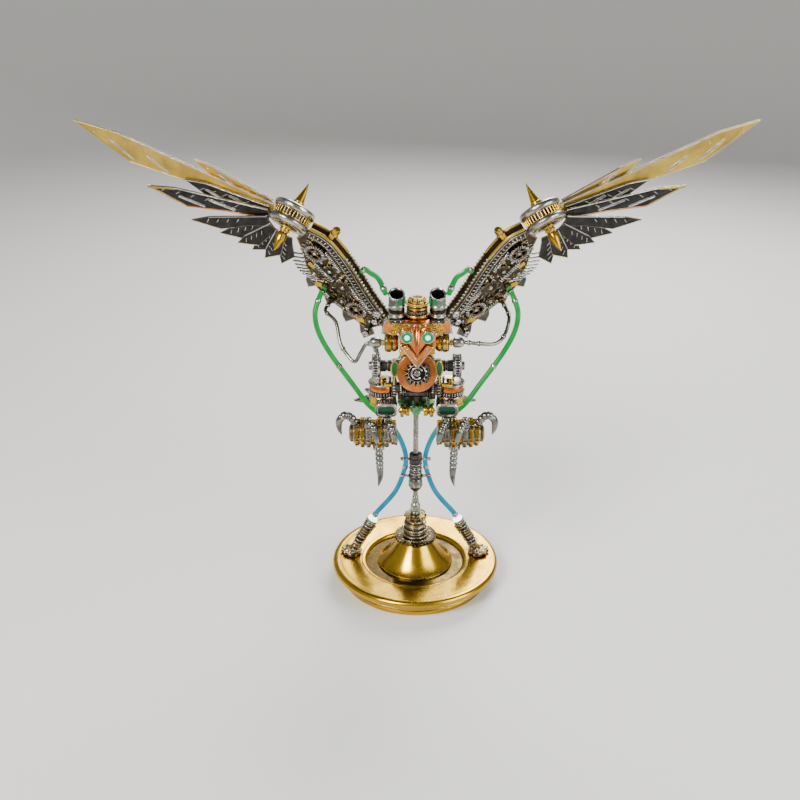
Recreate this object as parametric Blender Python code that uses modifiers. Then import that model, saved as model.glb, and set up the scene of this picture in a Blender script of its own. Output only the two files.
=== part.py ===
"""A winged bird of clockwork pieces, held up by a slim pole on a turned brass dish.

Metres, +Z up. The bird faces -Y, and the origin is the centre of the dish's underside.
Left and right are as seen from the front. The right side is modelled, and the left is its mirror image.
"""
import math

import bmesh
import bpy
from mathutils import Matrix, Vector

MM = 0.001
GAP = 0.3 * MM
WELD = 0.002 * MM

# The dish, a turned plinth with a dome in the middle
DISH_RADIUS = 52 * MM
DISH_HEIGHT = 27 * MM
DISH_STEPS = 24
RIM_OVERHANG = 7 * MM
SKIRT_RADIUS = DISH_RADIUS - RIM_OVERHANG
SKIRT_HEIGHT = 7 * MM
RIM_BOTTOM = 8 * MM
RIM_TOP = 13.2 * MM
RIM_WIDTH = 6 * MM
RIM_ROUND = 1.5 * MM
RING_OUTER_RADIUS = DISH_RADIUS - RIM_WIDTH
RING_INNER_RADIUS = 32.5 * MM
RING_INNER_HEIGHT = 12 * MM
GROOVE_RADIUS = 30 * MM
GROOVE_HEIGHT = 9.6 * MM
DOME_FOOT_RADIUS = 23 * MM
DOME_FOOT_HEIGHT = 11.3 * MM
DOME_TOP_RADIUS = 10 * MM

# The pole, a stack of turned pieces from the dome up to the belly
BASE_GEAR_RADIUS = 13 * MM
BASE_GEAR_THICKNESS = 1.8 * MM
BASE_GEAR_TEETH = 18
FLANGE_RADIUS = 7.5 * MM
FLANGE_STACK_HEIGHT = 12 * MM
POLE_GEAR_RADIUS = 7 * MM
POLE_GEAR_THICKNESS = 2 * MM
FORK_RADIUS = 2.95 * MM
NECK_RADIUS = 1.5 * MM
BULB_RADIUS = 4.3 * MM
LOWER_POLE_HEIGHT = 25.1 * MM
COLLAR_RADIUS = 3.75 * MM
COLLAR_HEIGHT = 16.3 * MM
CROSSBAR_HALF_LENGTH = 8.3 * MM
CROSSBAR_RADIUS = 0.7 * MM
CROSSBAR_BALL_RADIUS = 1.2 * MM
LOWER_BAR_SHARE = 0.07
UPPER_BAR_SHARE = 0.78
ROD_RADIUS = 1.6 * MM
ROD_LENGTH = 26 * MM

# The two lamps on the dish
LAMP_INSET = 5.2 * MM
LAMP_RADIUS_ON_DISH = RING_OUTER_RADIUS - LAMP_INSET
LAMP_BEARING = math.radians(7)
LAMP_LEAN = math.radians(30)
LAMP_GEAR_RADIUS = 6.7 * MM
LAMP_GEAR_THICKNESS = 1.6 * MM
LAMP_BARREL_RADIUS = 3 * MM
LAMP_BARREL_START = 9 * MM
LAMP_BARREL_END = 26 * MM
LAMP_BULB_RADIUS = 3.3 * MM
LAMP_BULB_LENGTH = 3 * MM
LIGHT_TUBE_RADIUS = 1.55 * MM
SILVER_TUBE_RADIUS = 1.05 * MM

# The bird's frame, measured from the top of the pole
TORSO_RADIUS = 12 * MM
CHEST_POINT = Vector((0, -19, 38)) * MM
RUMP_POINT = Vector((0, 28, 18)) * MM
BELLY_GEAR_RADIUS = 11 * MM
BELLY_GEAR_BASE = 9.5 * MM
BELLY_GEAR_THICKNESS = 1.8 * MM
BELLY_GEAR_CENTRE_Y = -5 * MM
SHOULDER = Vector((12.6, 18.5, 49.6)) * MM
SHOULDER_RADIUS = 5 * MM
HIP_DRUM_RADIUS = 8.3 * MM
HIP_BAND_RADIUS = 8 * MM
HIP_DRUM_HEIGHT = 14 * MM
HIP_DRUM_BASE = 12 * MM
HIP_DRUM_CENTRE = (19.5 * MM, -10 * MM)
WHEEL_RADIUS = 6.9 * MM
WHEEL_THICKNESS = 5 * MM
WHEEL_INNER_X = 20.5 * MM
WHEEL_BOSS_RADIUS = 3.4 * MM
WHEEL_BEAM_END = 13.9 * MM
CHEST_DISC_RADIUS = 11.4 * MM
CHEST_DISC_THICKNESS = 2 * MM
CHEST_GEAR_RADIUS = 7.3 * MM
CHEST_GEAR_THICKNESS = 1.8 * MM
CHEST_HEIGHT = 36 * MM
CHEST_CENTRE = Vector((0, -21.2 * MM, CHEST_HEIGHT))
CHEST_TILT = math.radians(12)

# The legs
FRAME_WIDTH = 12.5 * MM
FRAME_HEIGHT = 8 * MM
FRAME_DEPTH = 7.4 * MM
FRAME_WALL = 1.5 * MM
FRAME_CENTRE_X = 17.3 * MM
FRAME_BASE = 10 * MM
KNOB_RADIUS = 3.8 * MM
KNOB_INNER_X = 4 * MM
PALM_RADIUS = 8 * MM
PALM_INNER_X = 11.5 * MM
PALM_LENGTH = 27 * MM

# The head
HEAD_WIDTH = 20 * MM
HEAD_DEPTH = 20.7 * MM
HEAD_HEIGHT = 18.2 * MM
HEAD_FRONT = -26.7 * MM
HEAD_CLEARANCE = 0.9 * MM
HEAD_BASE = CHEST_HEIGHT + CHEST_DISC_RADIUS + HEAD_CLEARANCE
EYE_RADIUS = 3.6 * MM
EYE_OFFSET = 5.7 * MM
EYE_RISE = 11.6 * MM
EYE_HEIGHT = HEAD_BASE + EYE_RISE
BEAK_DROP = 6.1 * MM
SOCKET_LENGTH = 2 * MM
CROWN_RADIUS = 6.2 * MM
CROWN_HEIGHT = 11 * MM
CROWN_Y = -14 * MM
GOGGLE_RADIUS = 4.6 * MM
GOGGLE_WALL = 0.8 * MM
GOGGLE_HEIGHT = 15.4 * MM
GOGGLE_X = 11.4 * MM
GOGGLE_WELL = 9 * MM
EAR_RADIUS = 5.5 * MM
EAR_Y = -14 * MM
EAR_RISE = 2.7 * MM
EAR_HEIGHT = HEAD_BASE + EAR_RISE
EAR_LENGTH = 16.5 * MM

# The tail
TAIL_HUB_RADIUS = 6.5 * MM
TAIL_HUB_THICKNESS = 5 * MM
TAIL_HUB = Vector((0, 33, 2.5)) * MM
TAIL_FEATHER_LENGTH = 47 * MM
TAIL_FEATHER_WIDTH = 13 * MM
TAIL_DIP = math.radians(17)
TAIL_HEADINGS = (-78, -52, -26, 0, 26, 52, 78)

# The wings: rise, sweep and tilt turn the fan's plane, and the arm runs inside that plane
WING_RISE = math.radians(27.4)
WING_SWEEP = math.radians(5.7)
WING_TILT = math.radians(-57.7)
ARM_LENGTH = 87 * MM
ARM_ANGLE = math.radians(151)
ARM_LEVEL = 3.2 * MM
RAIL_WIDTH = 8 * MM
RAIL_THICKNESS = 8 * MM
RAIL_TEETH = 8
RAIL_TOOTH_DEPTH = 1.3 * MM
WEB_THICKNESS = 2.4 * MM
ARM_GEARS = ((0.28, 2.5 * MM, 7.5 * MM), (0.80, 10 * MM, 8 * MM))
ARM_GEAR_THICKNESS = 2.4 * MM
LIGHT_SOCKET = (0.53, 14 * MM)
PIPE_SOCKET = (0.65, 19 * MM)
SOCKET_RADIUS = 2.1 * MM
SOCKET_DEPTH = 4.5 * MM
HUB_RADIUS = 12 * MM
HUB_BAND_RADIUS = 10.8 * MM
HUB_TILT = math.radians(29)
RIM_CLEARANCE = 0.8 * MM
HUB_RING_THICKNESS = 3.2 * MM
HUB_LOWER_LEVEL = 0.2 * MM
FAN_ROWS = 5
ROW_LIFT = 0.35 * MM
SPIKE_RADIUS = 2.9 * MM
SPIKE_LENGTH = 15 * MM
FEATHER_THICKNESS = 0.8 * MM
SLOT_WIDTH = 0.9 * MM

BRASS = ((0.78, 0.56, 0.20, 1), 1.0, 0.28)
BRONZE = ((0.34, 0.24, 0.13, 1), 1.0, 0.42)
COPPER = ((0.72, 0.33, 0.15, 1), 1.0, 0.32)
STEEL = ((0.66, 0.66, 0.64, 1), 1.0, 0.28)
GUNMETAL = ((0.12, 0.12, 0.13, 1), 1.0, 0.38)
GREEN_LIGHT = ((0.02, 0.75, 0.30, 1), 0.0, 0.35)
WHITE_LIGHT = ((0.75, 1.0, 0.92, 1), 0.0, 0.30)

for old in list(bpy.data.objects):
    bpy.data.objects.remove(old)
bird_parts = bpy.data.collections.new("mechanical_bird")
bpy.context.scene.collection.children.link(bird_parts)


def finish(name, look):
    """The sub-part's own metal or glowing material."""
    colour, metallic, roughness = look
    material = bpy.data.materials.new(name)
    material.use_nodes = True
    shader = material.node_tree.nodes["Principled BSDF"]
    shader.inputs["Base Color"].default_value = colour
    shader.inputs["Metallic"].default_value = metallic
    shader.inputs["Roughness"].default_value = roughness
    if look in (GREEN_LIGHT, WHITE_LIGHT):
        shader.inputs["Emission Color"].default_value = colour
        shader.inputs["Emission Strength"].default_value = 2
    return material


def added(name, data):
    """A new object in the bird's collection."""
    piece = bpy.data.objects.new(name, data)
    bird_parts.objects.link(piece)
    return piece


def placed(piece, at=(0, 0, 0), axis=None, turn=0):
    """Sets a piece's place, with its own +Z along the axis given and a turn about it."""
    piece.location = at
    if axis is not None:
        aim = Vector(axis).to_track_quat("Z", "Y").to_matrix()
        piece.rotation_euler = (aim @ Matrix.Rotation(turn, 3, "Z")).to_euler()
    return piece


def turned(profile, steps, at=(0, 0, 0), axis=None):
    """A turned solid. The profile is (radius, height) from its top on the axis down to its bottom."""
    mesh = bpy.data.meshes.new("turned")
    mesh.from_pydata([(r, 0, z) for r, z in profile], [(i, i + 1) for i in range(len(profile) - 1)], [])
    piece = added("turned", mesh)
    screw = piece.modifiers.new("turn", "SCREW")
    screw.steps = steps
    screw.render_steps = steps
    screw.use_merge_vertices = True
    screw.merge_threshold = WELD
    return placed(piece, at, axis)


def plate(outlines, thickness, at=(0, 0, 0), axis=None, turn=0):
    """A flat plate about its own XY plane. The first outline is its edge, and the others are holes."""
    curve = bpy.data.curves.new("plate", "CURVE")
    curve.dimensions = "2D"
    curve.fill_mode = "BOTH"
    curve.extrude = thickness / 2
    curve.render_resolution_u = 0
    for outline in outlines:
        spline = curve.splines.new("POLY")
        spline.points.add(len(outline) - 1)
        for point, (x, y) in zip(spline.points, outline):
            point.co = (x, y, 0, 1)
        spline.use_cyclic_u = True
    return placed(added("plate", curve), at, axis, turn)


def round_bar(start, end, radius, sides=8, end_radius=None):
    """A straight bar between two points, which may taper."""
    start = Vector(start)
    along = Vector(end) - start
    work = bmesh.new()
    bmesh.ops.create_cone(work, cap_ends=True, segments=sides, radius1=radius,
                          radius2=radius if end_radius is None else end_radius, depth=along.length)
    mesh = bpy.data.meshes.new("bar")
    work.to_mesh(mesh)
    work.free()
    return placed(added("bar", mesh), start + along / 2, along)


def block(low, high, top_share=1.0):
    """A box between two corners, whose top face may be narrower than its bottom."""
    low = Vector(low)
    high = Vector(high)
    work = bmesh.new()
    bmesh.ops.create_cube(work, size=1)
    for vert in work.verts:
        if vert.co.z > 0:
            vert.co.x *= top_share
        vert.co = Vector([a * b for a, b in zip(vert.co, high - low)])
    mesh = bpy.data.meshes.new("block")
    work.to_mesh(mesh)
    work.free()
    return placed(added("block", mesh), (low + high) / 2)


def smooth_route(points, spacing):
    """Points at an even spacing on one smooth curve through the points given."""
    points = [Vector(p) for p in points]
    ends = [2 * points[0] - points[1]] + points + [2 * points[-1] - points[-2]]
    dense = []
    for a, b, c, d in zip(ends, ends[1:], ends[2:], ends[3:]):
        for step in range(12):
            t = step / 12
            dense.append(0.5 * (2 * b + (c - a) * t + (2 * a - 5 * b + 4 * c - d) * t ** 2
                                + (3 * b - a - 3 * c + d) * t ** 3))
    dense.append(points[-1])
    travelled = [0]
    for a, b in zip(dense, dense[1:]):
        travelled.append(travelled[-1] + (b - a).length)
    count = max(2, round(travelled[-1] / spacing))
    route = []
    here = 0
    for step in range(count + 1):
        target = travelled[-1] * step / count
        while here < len(dense) - 2 and travelled[here + 1] < target:
            here += 1
        share = (target - travelled[here]) / (travelled[here + 1] - travelled[here])
        route.append(dense[here].lerp(dense[here + 1], share))
    return route


def tube(route, radius, taper=None, resolution=2):
    """A round tube or horn along a route. The taper gives each point's share of the radius."""
    curve = bpy.data.curves.new("tube", "CURVE")
    curve.dimensions = "3D"
    curve.bevel_depth = radius
    curve.bevel_resolution = resolution
    curve.render_resolution_u = 0
    curve.use_fill_caps = True
    spline = curve.splines.new("POLY")
    spline.points.add(len(route) - 1)
    for index, (point, place) in enumerate(zip(spline.points, route)):
        point.co = (*place, 1)
        point.radius = taper[index] if taper else 1
    return added("tube", curve)


def plain(piece):
    """The piece as a welded mesh, in world coordinates. The original is removed."""
    bpy.context.view_layer.update()
    shape = piece.evaluated_get(bpy.context.evaluated_depsgraph_get())
    mesh = bpy.data.meshes.new_from_object(shape)
    mesh.transform(piece.matrix_world)
    bpy.data.objects.remove(piece)
    work = bmesh.new()
    work.from_mesh(mesh)
    bmesh.ops.remove_doubles(work, verts=work.verts, dist=WELD)
    bmesh.ops.recalc_face_normals(work, faces=work.faces)
    work.to_mesh(mesh)
    work.free()
    return added("plain", mesh)


def fused(pieces):
    """One solid from pieces that run into one another."""
    body = plain(pieces[0])
    for piece in pieces[1:]:
        tool = plain(piece)
        join = body.modifiers.new("join", "BOOLEAN")
        join.operation = "UNION"
        join.solver = "EXACT"
        join.object = tool
        body = plain(body)
        bpy.data.objects.remove(tool)
    return body


def cut(piece, cutter):
    """The piece with the cutter's shape taken out of it."""
    body = plain(piece)
    tool = plain(cutter)
    notch = body.modifiers.new("cut", "BOOLEAN")
    notch.operation = "DIFFERENCE"
    notch.solver = "EXACT"
    notch.object = tool
    body = plain(body)
    bpy.data.objects.remove(tool)
    return body


def kept(name, piece, look):
    """Gives a finished piece its name and its material."""
    piece = plain(piece)
    piece.name = name
    piece.data.name = name
    piece.data.materials.clear()
    piece.data.materials.append(finish(name, look))
    piece.data.shade_smooth()
    piece.data.set_sharp_from_angle(angle=math.radians(35))
    return piece


def both_sides(name, piece, look):
    """Keeps the right-hand piece and adds its mirror image for the left."""
    right = kept(name + "_right", piece, look)
    mesh = right.data.copy()
    mesh.transform(Matrix.Scale(-1, 4, (1, 0, 0)))
    mesh.flip_normals()
    kept(name + "_left", added(name, mesh), look)


def gear_outline(radius, depth, teeth):
    """A toothed wheel's edge, with pointed teeth."""
    outline = []
    for step in range(2 * teeth):
        reach = radius if step % 2 == 0 else radius - depth
        angle = math.pi * step / teeth
        outline.append((reach * math.cos(angle), reach * math.sin(angle)))
    return outline


def make_dish():
    """The turned brass plinth: skirt, rim, sloping ring, groove and bell-shaped dome."""
    profile = [(0, DISH_HEIGHT)]
    for step in range(4):
        t = step / 3
        radius = DOME_TOP_RADIUS + (DOME_FOOT_RADIUS - DOME_TOP_RADIUS) * t
        height = DOME_FOOT_HEIGHT + (DISH_HEIGHT - DOME_FOOT_HEIGHT) * (1 - t) ** 1.35
        profile.append((radius, height))
    profile += [(DOME_FOOT_RADIUS, GROOVE_HEIGHT), (GROOVE_RADIUS, GROOVE_HEIGHT),
                (RING_INNER_RADIUS, RING_INNER_HEIGHT), (RING_OUTER_RADIUS, RIM_TOP),
                (DISH_RADIUS - RIM_ROUND, RIM_TOP), (DISH_RADIUS, RIM_TOP - RIM_ROUND), (DISH_RADIUS, RIM_BOTTOM),
                (SKIRT_RADIUS, SKIRT_HEIGHT), (SKIRT_RADIUS, 0), (0, 0)]
    kept("base_dish", turned(profile, DISH_STEPS), BRASS)


def make_pole():
    """The stack from the dome to the belly. Returns the height of its top."""
    floor = DISH_HEIGHT + GAP
    gear = plate([gear_outline(BASE_GEAR_RADIUS, 1.3 * MM, BASE_GEAR_TEETH)], BASE_GEAR_THICKNESS,
                 (0, 0, floor + BASE_GEAR_THICKNESS / 2))
    kept("base_gear", gear, BRONZE)

    floor += BASE_GEAR_THICKNESS + GAP
    h = FLANGE_STACK_HEIGHT
    r = FLANGE_RADIUS
    rings = [(0, h), (0.66 * r, h), (0.66 * r, 0.82 * h), (0.92 * r, 0.78 * h), (0.92 * r, 0.64 * h),
             (0.70 * r, 0.54 * h), (0.97 * r, 0.42 * h), (0.97 * r, 0.28 * h), (0.76 * r, 0.2 * h), (r, 0.12 * h),
             (r, 0), (0, 0)]
    kept("pole_foot_stack", turned(rings, 8, (0, 0, floor)), BRASS)

    floor += FLANGE_STACK_HEIGHT + GAP
    gear = plate([gear_outline(POLE_GEAR_RADIUS, 1 * MM, 12)], POLE_GEAR_THICKNESS,
                 (0, 0, floor + POLE_GEAR_THICKNESS / 2))
    kept("pole_gear", gear, BRONZE)

    floor += POLE_GEAR_THICKNESS + GAP
    h = LOWER_POLE_HEIGHT
    profile = [(0, h), (0.8 * BULB_RADIUS, h), (BULB_RADIUS, 0.91 * h), (BULB_RADIUS, 0.79 * h),
               (0.75 * BULB_RADIUS, 0.71 * h), (NECK_RADIUS, 0.65 * h), (NECK_RADIUS, 0.33 * h),
               (FORK_RADIUS, 0.30 * h), (FORK_RADIUS, 0), (0, 0)]
    kept("pole_lower", turned(profile, 8, (0, 0, floor)), STEEL)

    floor += LOWER_POLE_HEIGHT + GAP
    h = COLLAR_HEIGHT
    r = COLLAR_RADIUS
    profile = [(0, h), (1.07 * r, h), (1.07 * r, 0.91 * h), (r, 0.89 * h), (r, 0.14 * h),
               (1.18 * r, 0.12 * h), (1.18 * r, 0), (0, 0)]
    pieces = [turned(profile, 8, (0, 0, floor))]
    for share in (LOWER_BAR_SHARE, UPPER_BAR_SHARE):
        level = floor + share * h
        reach = CROSSBAR_HALF_LENGTH
        pieces.append(round_bar((-reach, 0, level), (reach, 0, level), CROSSBAR_RADIUS, 4))
        for side in (-1, 1):
            inner = side * (reach - CROSSBAR_BALL_RADIUS)
            outer = side * (reach + CROSSBAR_BALL_RADIUS)
            pieces.append(round_bar((inner, 0, level), (outer, 0, level), CROSSBAR_BALL_RADIUS, 5))
    kept("pole_collar", fused(pieces), GUNMETAL)
    clip_levels = [floor + share * h for share in (LOWER_BAR_SHARE, UPPER_BAR_SHARE)]

    floor += COLLAR_HEIGHT + GAP
    kept("pole_rod", round_bar((0, 0, floor), (0, 0, floor + ROD_LENGTH), ROD_RADIUS), STEEL)
    return clip_levels, floor + ROD_LENGTH


def make_lamps():
    """The leaning lamps on the dish's ring. Returns the point and direction that the light leaves from."""
    slope = math.atan2(RIM_TOP - RING_INNER_HEIGHT, RING_OUTER_RADIUS - RING_INNER_RADIUS)
    outward = Vector((math.cos(LAMP_BEARING), math.sin(LAMP_BEARING), 0))
    up = (Vector((0, 0, 1)) * math.cos(slope) - outward * math.sin(slope)).normalized()
    rise = (LAMP_RADIUS_ON_DISH - RING_INNER_RADIUS) * math.tan(slope)
    foot = outward * LAMP_RADIUS_ON_DISH + Vector((0, 0, RING_INNER_HEIGHT + rise)) + up * 1.5 * GAP
    lean = Vector((-math.sin(LAMP_LEAN), 0, math.cos(LAMP_LEAN)))
    centre = foot + up * LAMP_GEAR_THICKNESS / 2
    gear = plate([gear_outline(LAMP_GEAR_RADIUS, 1 * MM, 8)], LAMP_GEAR_THICKNESS, centre, up)
    post = round_bar(centre + lean * 1 * MM, foot + lean * (LAMP_BARREL_START + 1 * MM), 2.4 * MM, 6)
    length = LAMP_BARREL_END - LAMP_BARREL_START
    r = LAMP_BARREL_RADIUS
    barrel = turned([(0, length), (1.1 * r, length), (1.1 * r, 0.86 * length), (r, 0.84 * length),
                     (r, 0.3 * length), (1.15 * r, 0.28 * length), (0.8 * r, 0), (0, 0)],
                    8, foot + lean * LAMP_BARREL_START, lean)
    beside = Vector((-lean.z, 0, lean.x)) * (LAMP_BARREL_RADIUS + 0.7 * MM)
    brace = round_bar(centre + lean * 2 * MM + beside * 0.6, foot + lean * (LAMP_BARREL_END - 2 * MM) + beside,
                      0.8 * MM, 4)
    both_sides("lamp_holder", fused([barrel, post, gear, brace]), BRASS)
    base = foot + lean * (LAMP_BARREL_END + GAP)
    r = LAMP_BULB_RADIUS
    bulb = turned([(0, LAMP_BULB_LENGTH), (0.75 * r, LAMP_BULB_LENGTH), (r, 0.6 * LAMP_BULB_LENGTH),
                   (0.85 * r, 0), (0, 0)], 8, base, lean)
    both_sides("lamp_bulb", bulb, WHITE_LIGHT)
    return base + lean * (LAMP_BULB_LENGTH + 1.5 * GAP), lean


def make_torso(datum):
    """The dark body: an inclined barrel, beams for the shoulders, wheels and hips, neck, rump and chest boss."""
    chest = datum + CHEST_POINT
    rump = datum + RUMP_POINT
    along = chest - rump
    length = along.length
    r = TORSO_RADIUS
    barrel = turned([(0, length), (0.70 * r, length), (0.86 * r, 0.94 * length), (0.9 * r, 0.7 * length),
                     (r, 0.5 * length), (0.85 * r, 0.22 * length), (0.5 * r, 0), (0, 0)], 10, rump, along)
    post = round_bar(datum + Vector((0, BELLY_GEAR_CENTRE_Y, BELLY_GEAR_BASE + BELLY_GEAR_THICKNESS + GAP)),
                     datum + Vector((0, BELLY_GEAR_CENTRE_Y, 30 * MM)), 6 * MM)
    hip_level = HIP_DRUM_BASE + HIP_DRUM_HEIGHT / 2
    hip_reach = HIP_DRUM_CENTRE[0] - HIP_DRUM_RADIUS - GAP
    hips = round_bar(datum + Vector((-hip_reach, HIP_DRUM_CENTRE[1], hip_level)),
                     datum + Vector((hip_reach, HIP_DRUM_CENTRE[1], hip_level)), 4.5 * MM, 6)
    wheel_level = wheel_centre().z
    wheels = round_bar(datum + Vector((-WHEEL_BEAM_END, HIP_DRUM_CENTRE[1], wheel_level)),
                       datum + Vector((WHEEL_BEAM_END, HIP_DRUM_CENTRE[1], wheel_level)), 4.2 * MM, 6)
    s = SHOULDER
    shoulders = round_bar(datum + Vector((-s.x, s.y, s.z)), datum + s, SHOULDER_RADIUS, 8)
    back = block(datum + Vector((-7 * MM, s.y - 8 * MM, 24 * MM)), datum + Vector((7 * MM, s.y + 3 * MM, s.z)), 1.2)
    neck = round_bar(datum + Vector((0, HEAD_FRONT + HEAD_DEPTH * 0.65, 36 * MM)),
                     datum + Vector((0, HEAD_FRONT + HEAD_DEPTH * 0.65, HEAD_BASE - GAP)), 5.5 * MM)
    boss_axis = chest_axis()
    boss = round_bar(datum + CHEST_CENTRE - boss_axis * 5 * MM, datum + CHEST_CENTRE, 5 * MM, 8)
    tail_top = datum + TAIL_HUB + Vector((0, 0, TAIL_HUB_THICKNESS / 2 + GAP))
    rump_end = datum + RUMP_POINT + Vector((0, -4, 2)) * MM
    rump_post = round_bar(tail_top + Vector((0, 0, 2.4 * MM)), rump_end, 4 * MM, 6, 5 * MM)
    foot = round_bar(tail_top, tail_top + Vector((0, 0, 4 * MM)), 4.6 * MM, 6)
    kept("torso", fused([barrel, back, shoulders, post, hips, wheels, neck, boss, rump_post, foot]), GUNMETAL)


def chest_axis():
    """The direction that the chest's disc faces: forward and a little up."""
    return Vector((0, -math.cos(CHEST_TILT), math.sin(CHEST_TILT)))


def wheel_centre():
    """The middle of the right side wheel, which stands on the hip drum's post."""
    return Vector((WHEEL_INNER_X, HIP_DRUM_CENTRE[1], HIP_DRUM_BASE + HIP_DRUM_HEIGHT + 2 * MM + GAP + WHEEL_RADIUS))


def make_belly_gear(datum):
    """The gear under the body, on a hub that seats on the pole, with three struts."""
    centre = Vector((0, BELLY_GEAR_CENTRE_Y, BELLY_GEAR_BASE + BELLY_GEAR_THICKNESS / 2))
    gear = plate([gear_outline(BELLY_GEAR_RADIUS, 1.5 * MM, 14)], BELLY_GEAR_THICKNESS, datum + centre)
    hub = round_bar(datum + Vector((0, 0, GAP)), datum + Vector((0, 0, centre.z)), 2.4 * MM, 6)
    pieces = [gear, hub]
    for x, y in ((-0.75, 0), (0.75, 0), (0, -0.8)):
        reach = Vector((x * BELLY_GEAR_RADIUS, y * BELLY_GEAR_RADIUS, -0.3 * BELLY_GEAR_THICKNESS))
        pieces.append(round_bar(datum + Vector((0, 0, 2.4 * MM)), datum + centre + reach, 0.6 * MM, 4))
    kept("belly_gear", fused(pieces), BRONZE)


def make_chest(datum):
    """The copper disc on the breast, with its dark gear and hub."""
    axis = chest_axis()
    base = datum + CHEST_CENTRE + axis * GAP
    r = CHEST_DISC_RADIUS
    t = CHEST_DISC_THICKNESS
    disc = turned([(0, t), (0.9 * r, t), (r, 0.6 * t), (r, 0), (0, 0)], 14, base, axis)
    kept("chest_disc", disc, COPPER)
    base += axis * (CHEST_DISC_THICKNESS + GAP)
    gear = plate([gear_outline(CHEST_GEAR_RADIUS, 1.3 * MM, 12)], CHEST_GEAR_THICKNESS,
                 base + axis * CHEST_GEAR_THICKNESS / 2, axis)
    hub = round_bar(base, base + axis * (CHEST_GEAR_THICKNESS + 1 * MM), 2.5 * MM, 6)
    kept("chest_gear", fused([gear, hub]), GUNMETAL)


def make_hips(datum):
    """Hip drums with a toothed rim, side wheels above them, leg frames and knobs in front."""
    r = HIP_DRUM_RADIUS
    h = HIP_DRUM_HEIGHT
    x, y = HIP_DRUM_CENTRE
    post = 2 * MM
    band = HIP_BAND_RADIUS
    drum = turned([(0, h + post), (2 * MM, h + post), (2 * MM, h), (0.87 * r, h), (r, 0.88 * h), (r, 0.76 * h),
                   (0.83 * r, 0.7 * h), (0.83 * r, 0.45 * h), (band, 0.42 * h), (band, 0), (0, 0)],
                  10, datum + Vector((x, y, HIP_DRUM_BASE)))
    both_sides("hip_drum", drum, BRASS)

    centre = datum + wheel_centre()
    start = centre - Vector((WHEEL_INNER_X - WHEEL_BEAM_END - GAP, 0, 0))
    to_rim = (centre - start).length
    r = WHEEL_RADIUS
    t = WHEEL_THICKNESS
    wheel = turned([(0, to_rim + t + 2 * MM), (0.35 * r, to_rim + t + 2 * MM), (0.35 * r, to_rim + t),
                    (0.88 * r, to_rim + t), (r, to_rim + 0.8 * t), (r, to_rim),
                    (WHEEL_BOSS_RADIUS, to_rim), (WHEEL_BOSS_RADIUS, 0), (0, 0)], 10, start, (1, 0, 0))
    both_sides("side_wheel", wheel, STEEL)

    back = HIP_DRUM_CENTRE[1] - HIP_BAND_RADIUS - GAP
    frame_centre = Vector((FRAME_CENTRE_X, back - FRAME_DEPTH / 2, FRAME_BASE + FRAME_HEIGHT / 2))
    outer = rounded_box(FRAME_WIDTH, FRAME_HEIGHT, 2 * MM)
    inner = rounded_box(FRAME_WIDTH - 2 * FRAME_WALL, FRAME_HEIGHT - 2 * FRAME_WALL, 1 * MM)
    frame = plate([outer, inner], FRAME_DEPTH, datum + frame_centre, (0, -1, 0))
    both_sides("leg_frame", frame, STEEL)

    start = datum + Vector((KNOB_INNER_X, frame_centre.y, frame_centre.z - 1.5 * MM))
    reach = FRAME_CENTRE_X - FRAME_WIDTH / 2 - GAP - KNOB_INNER_X
    r = KNOB_RADIUS
    knob = turned([(0, reach), (0.4 * r, 0.84 * reach), (r, 0.8 * reach), (r, 0.5 * reach),
                   (0.5 * r, 0.45 * reach), (0.8 * r, 0.34 * reach), (0.8 * r, 0), (0, 0)], 8, start, (1, 0, 0))
    both_sides("hip_knob", knob, BRASS)
    return frame_centre


def rounded_box(width, height, cut):
    """A rectangle's outline with its corners cut off."""
    x = width / 2
    y = height / 2
    return [(x - cut, -y), (x, -y + cut), (x, y - cut), (x - cut, y),
            (-x + cut, y), (-x, y - cut), (-x, -y + cut), (-x + cut, -y)]


def claw(points, radius):
    """A curved claw, which tapers to its point."""
    length = sum((Vector(b) - Vector(a)).length for a, b in zip(points, points[1:]))
    route = smooth_route(points, length / 5)
    last = len(route) - 1
    taper = [1 - 0.85 * (step / last) ** 2.5 for step in range(last + 1)]
    return tube(route, radius, taper, 0)


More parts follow.
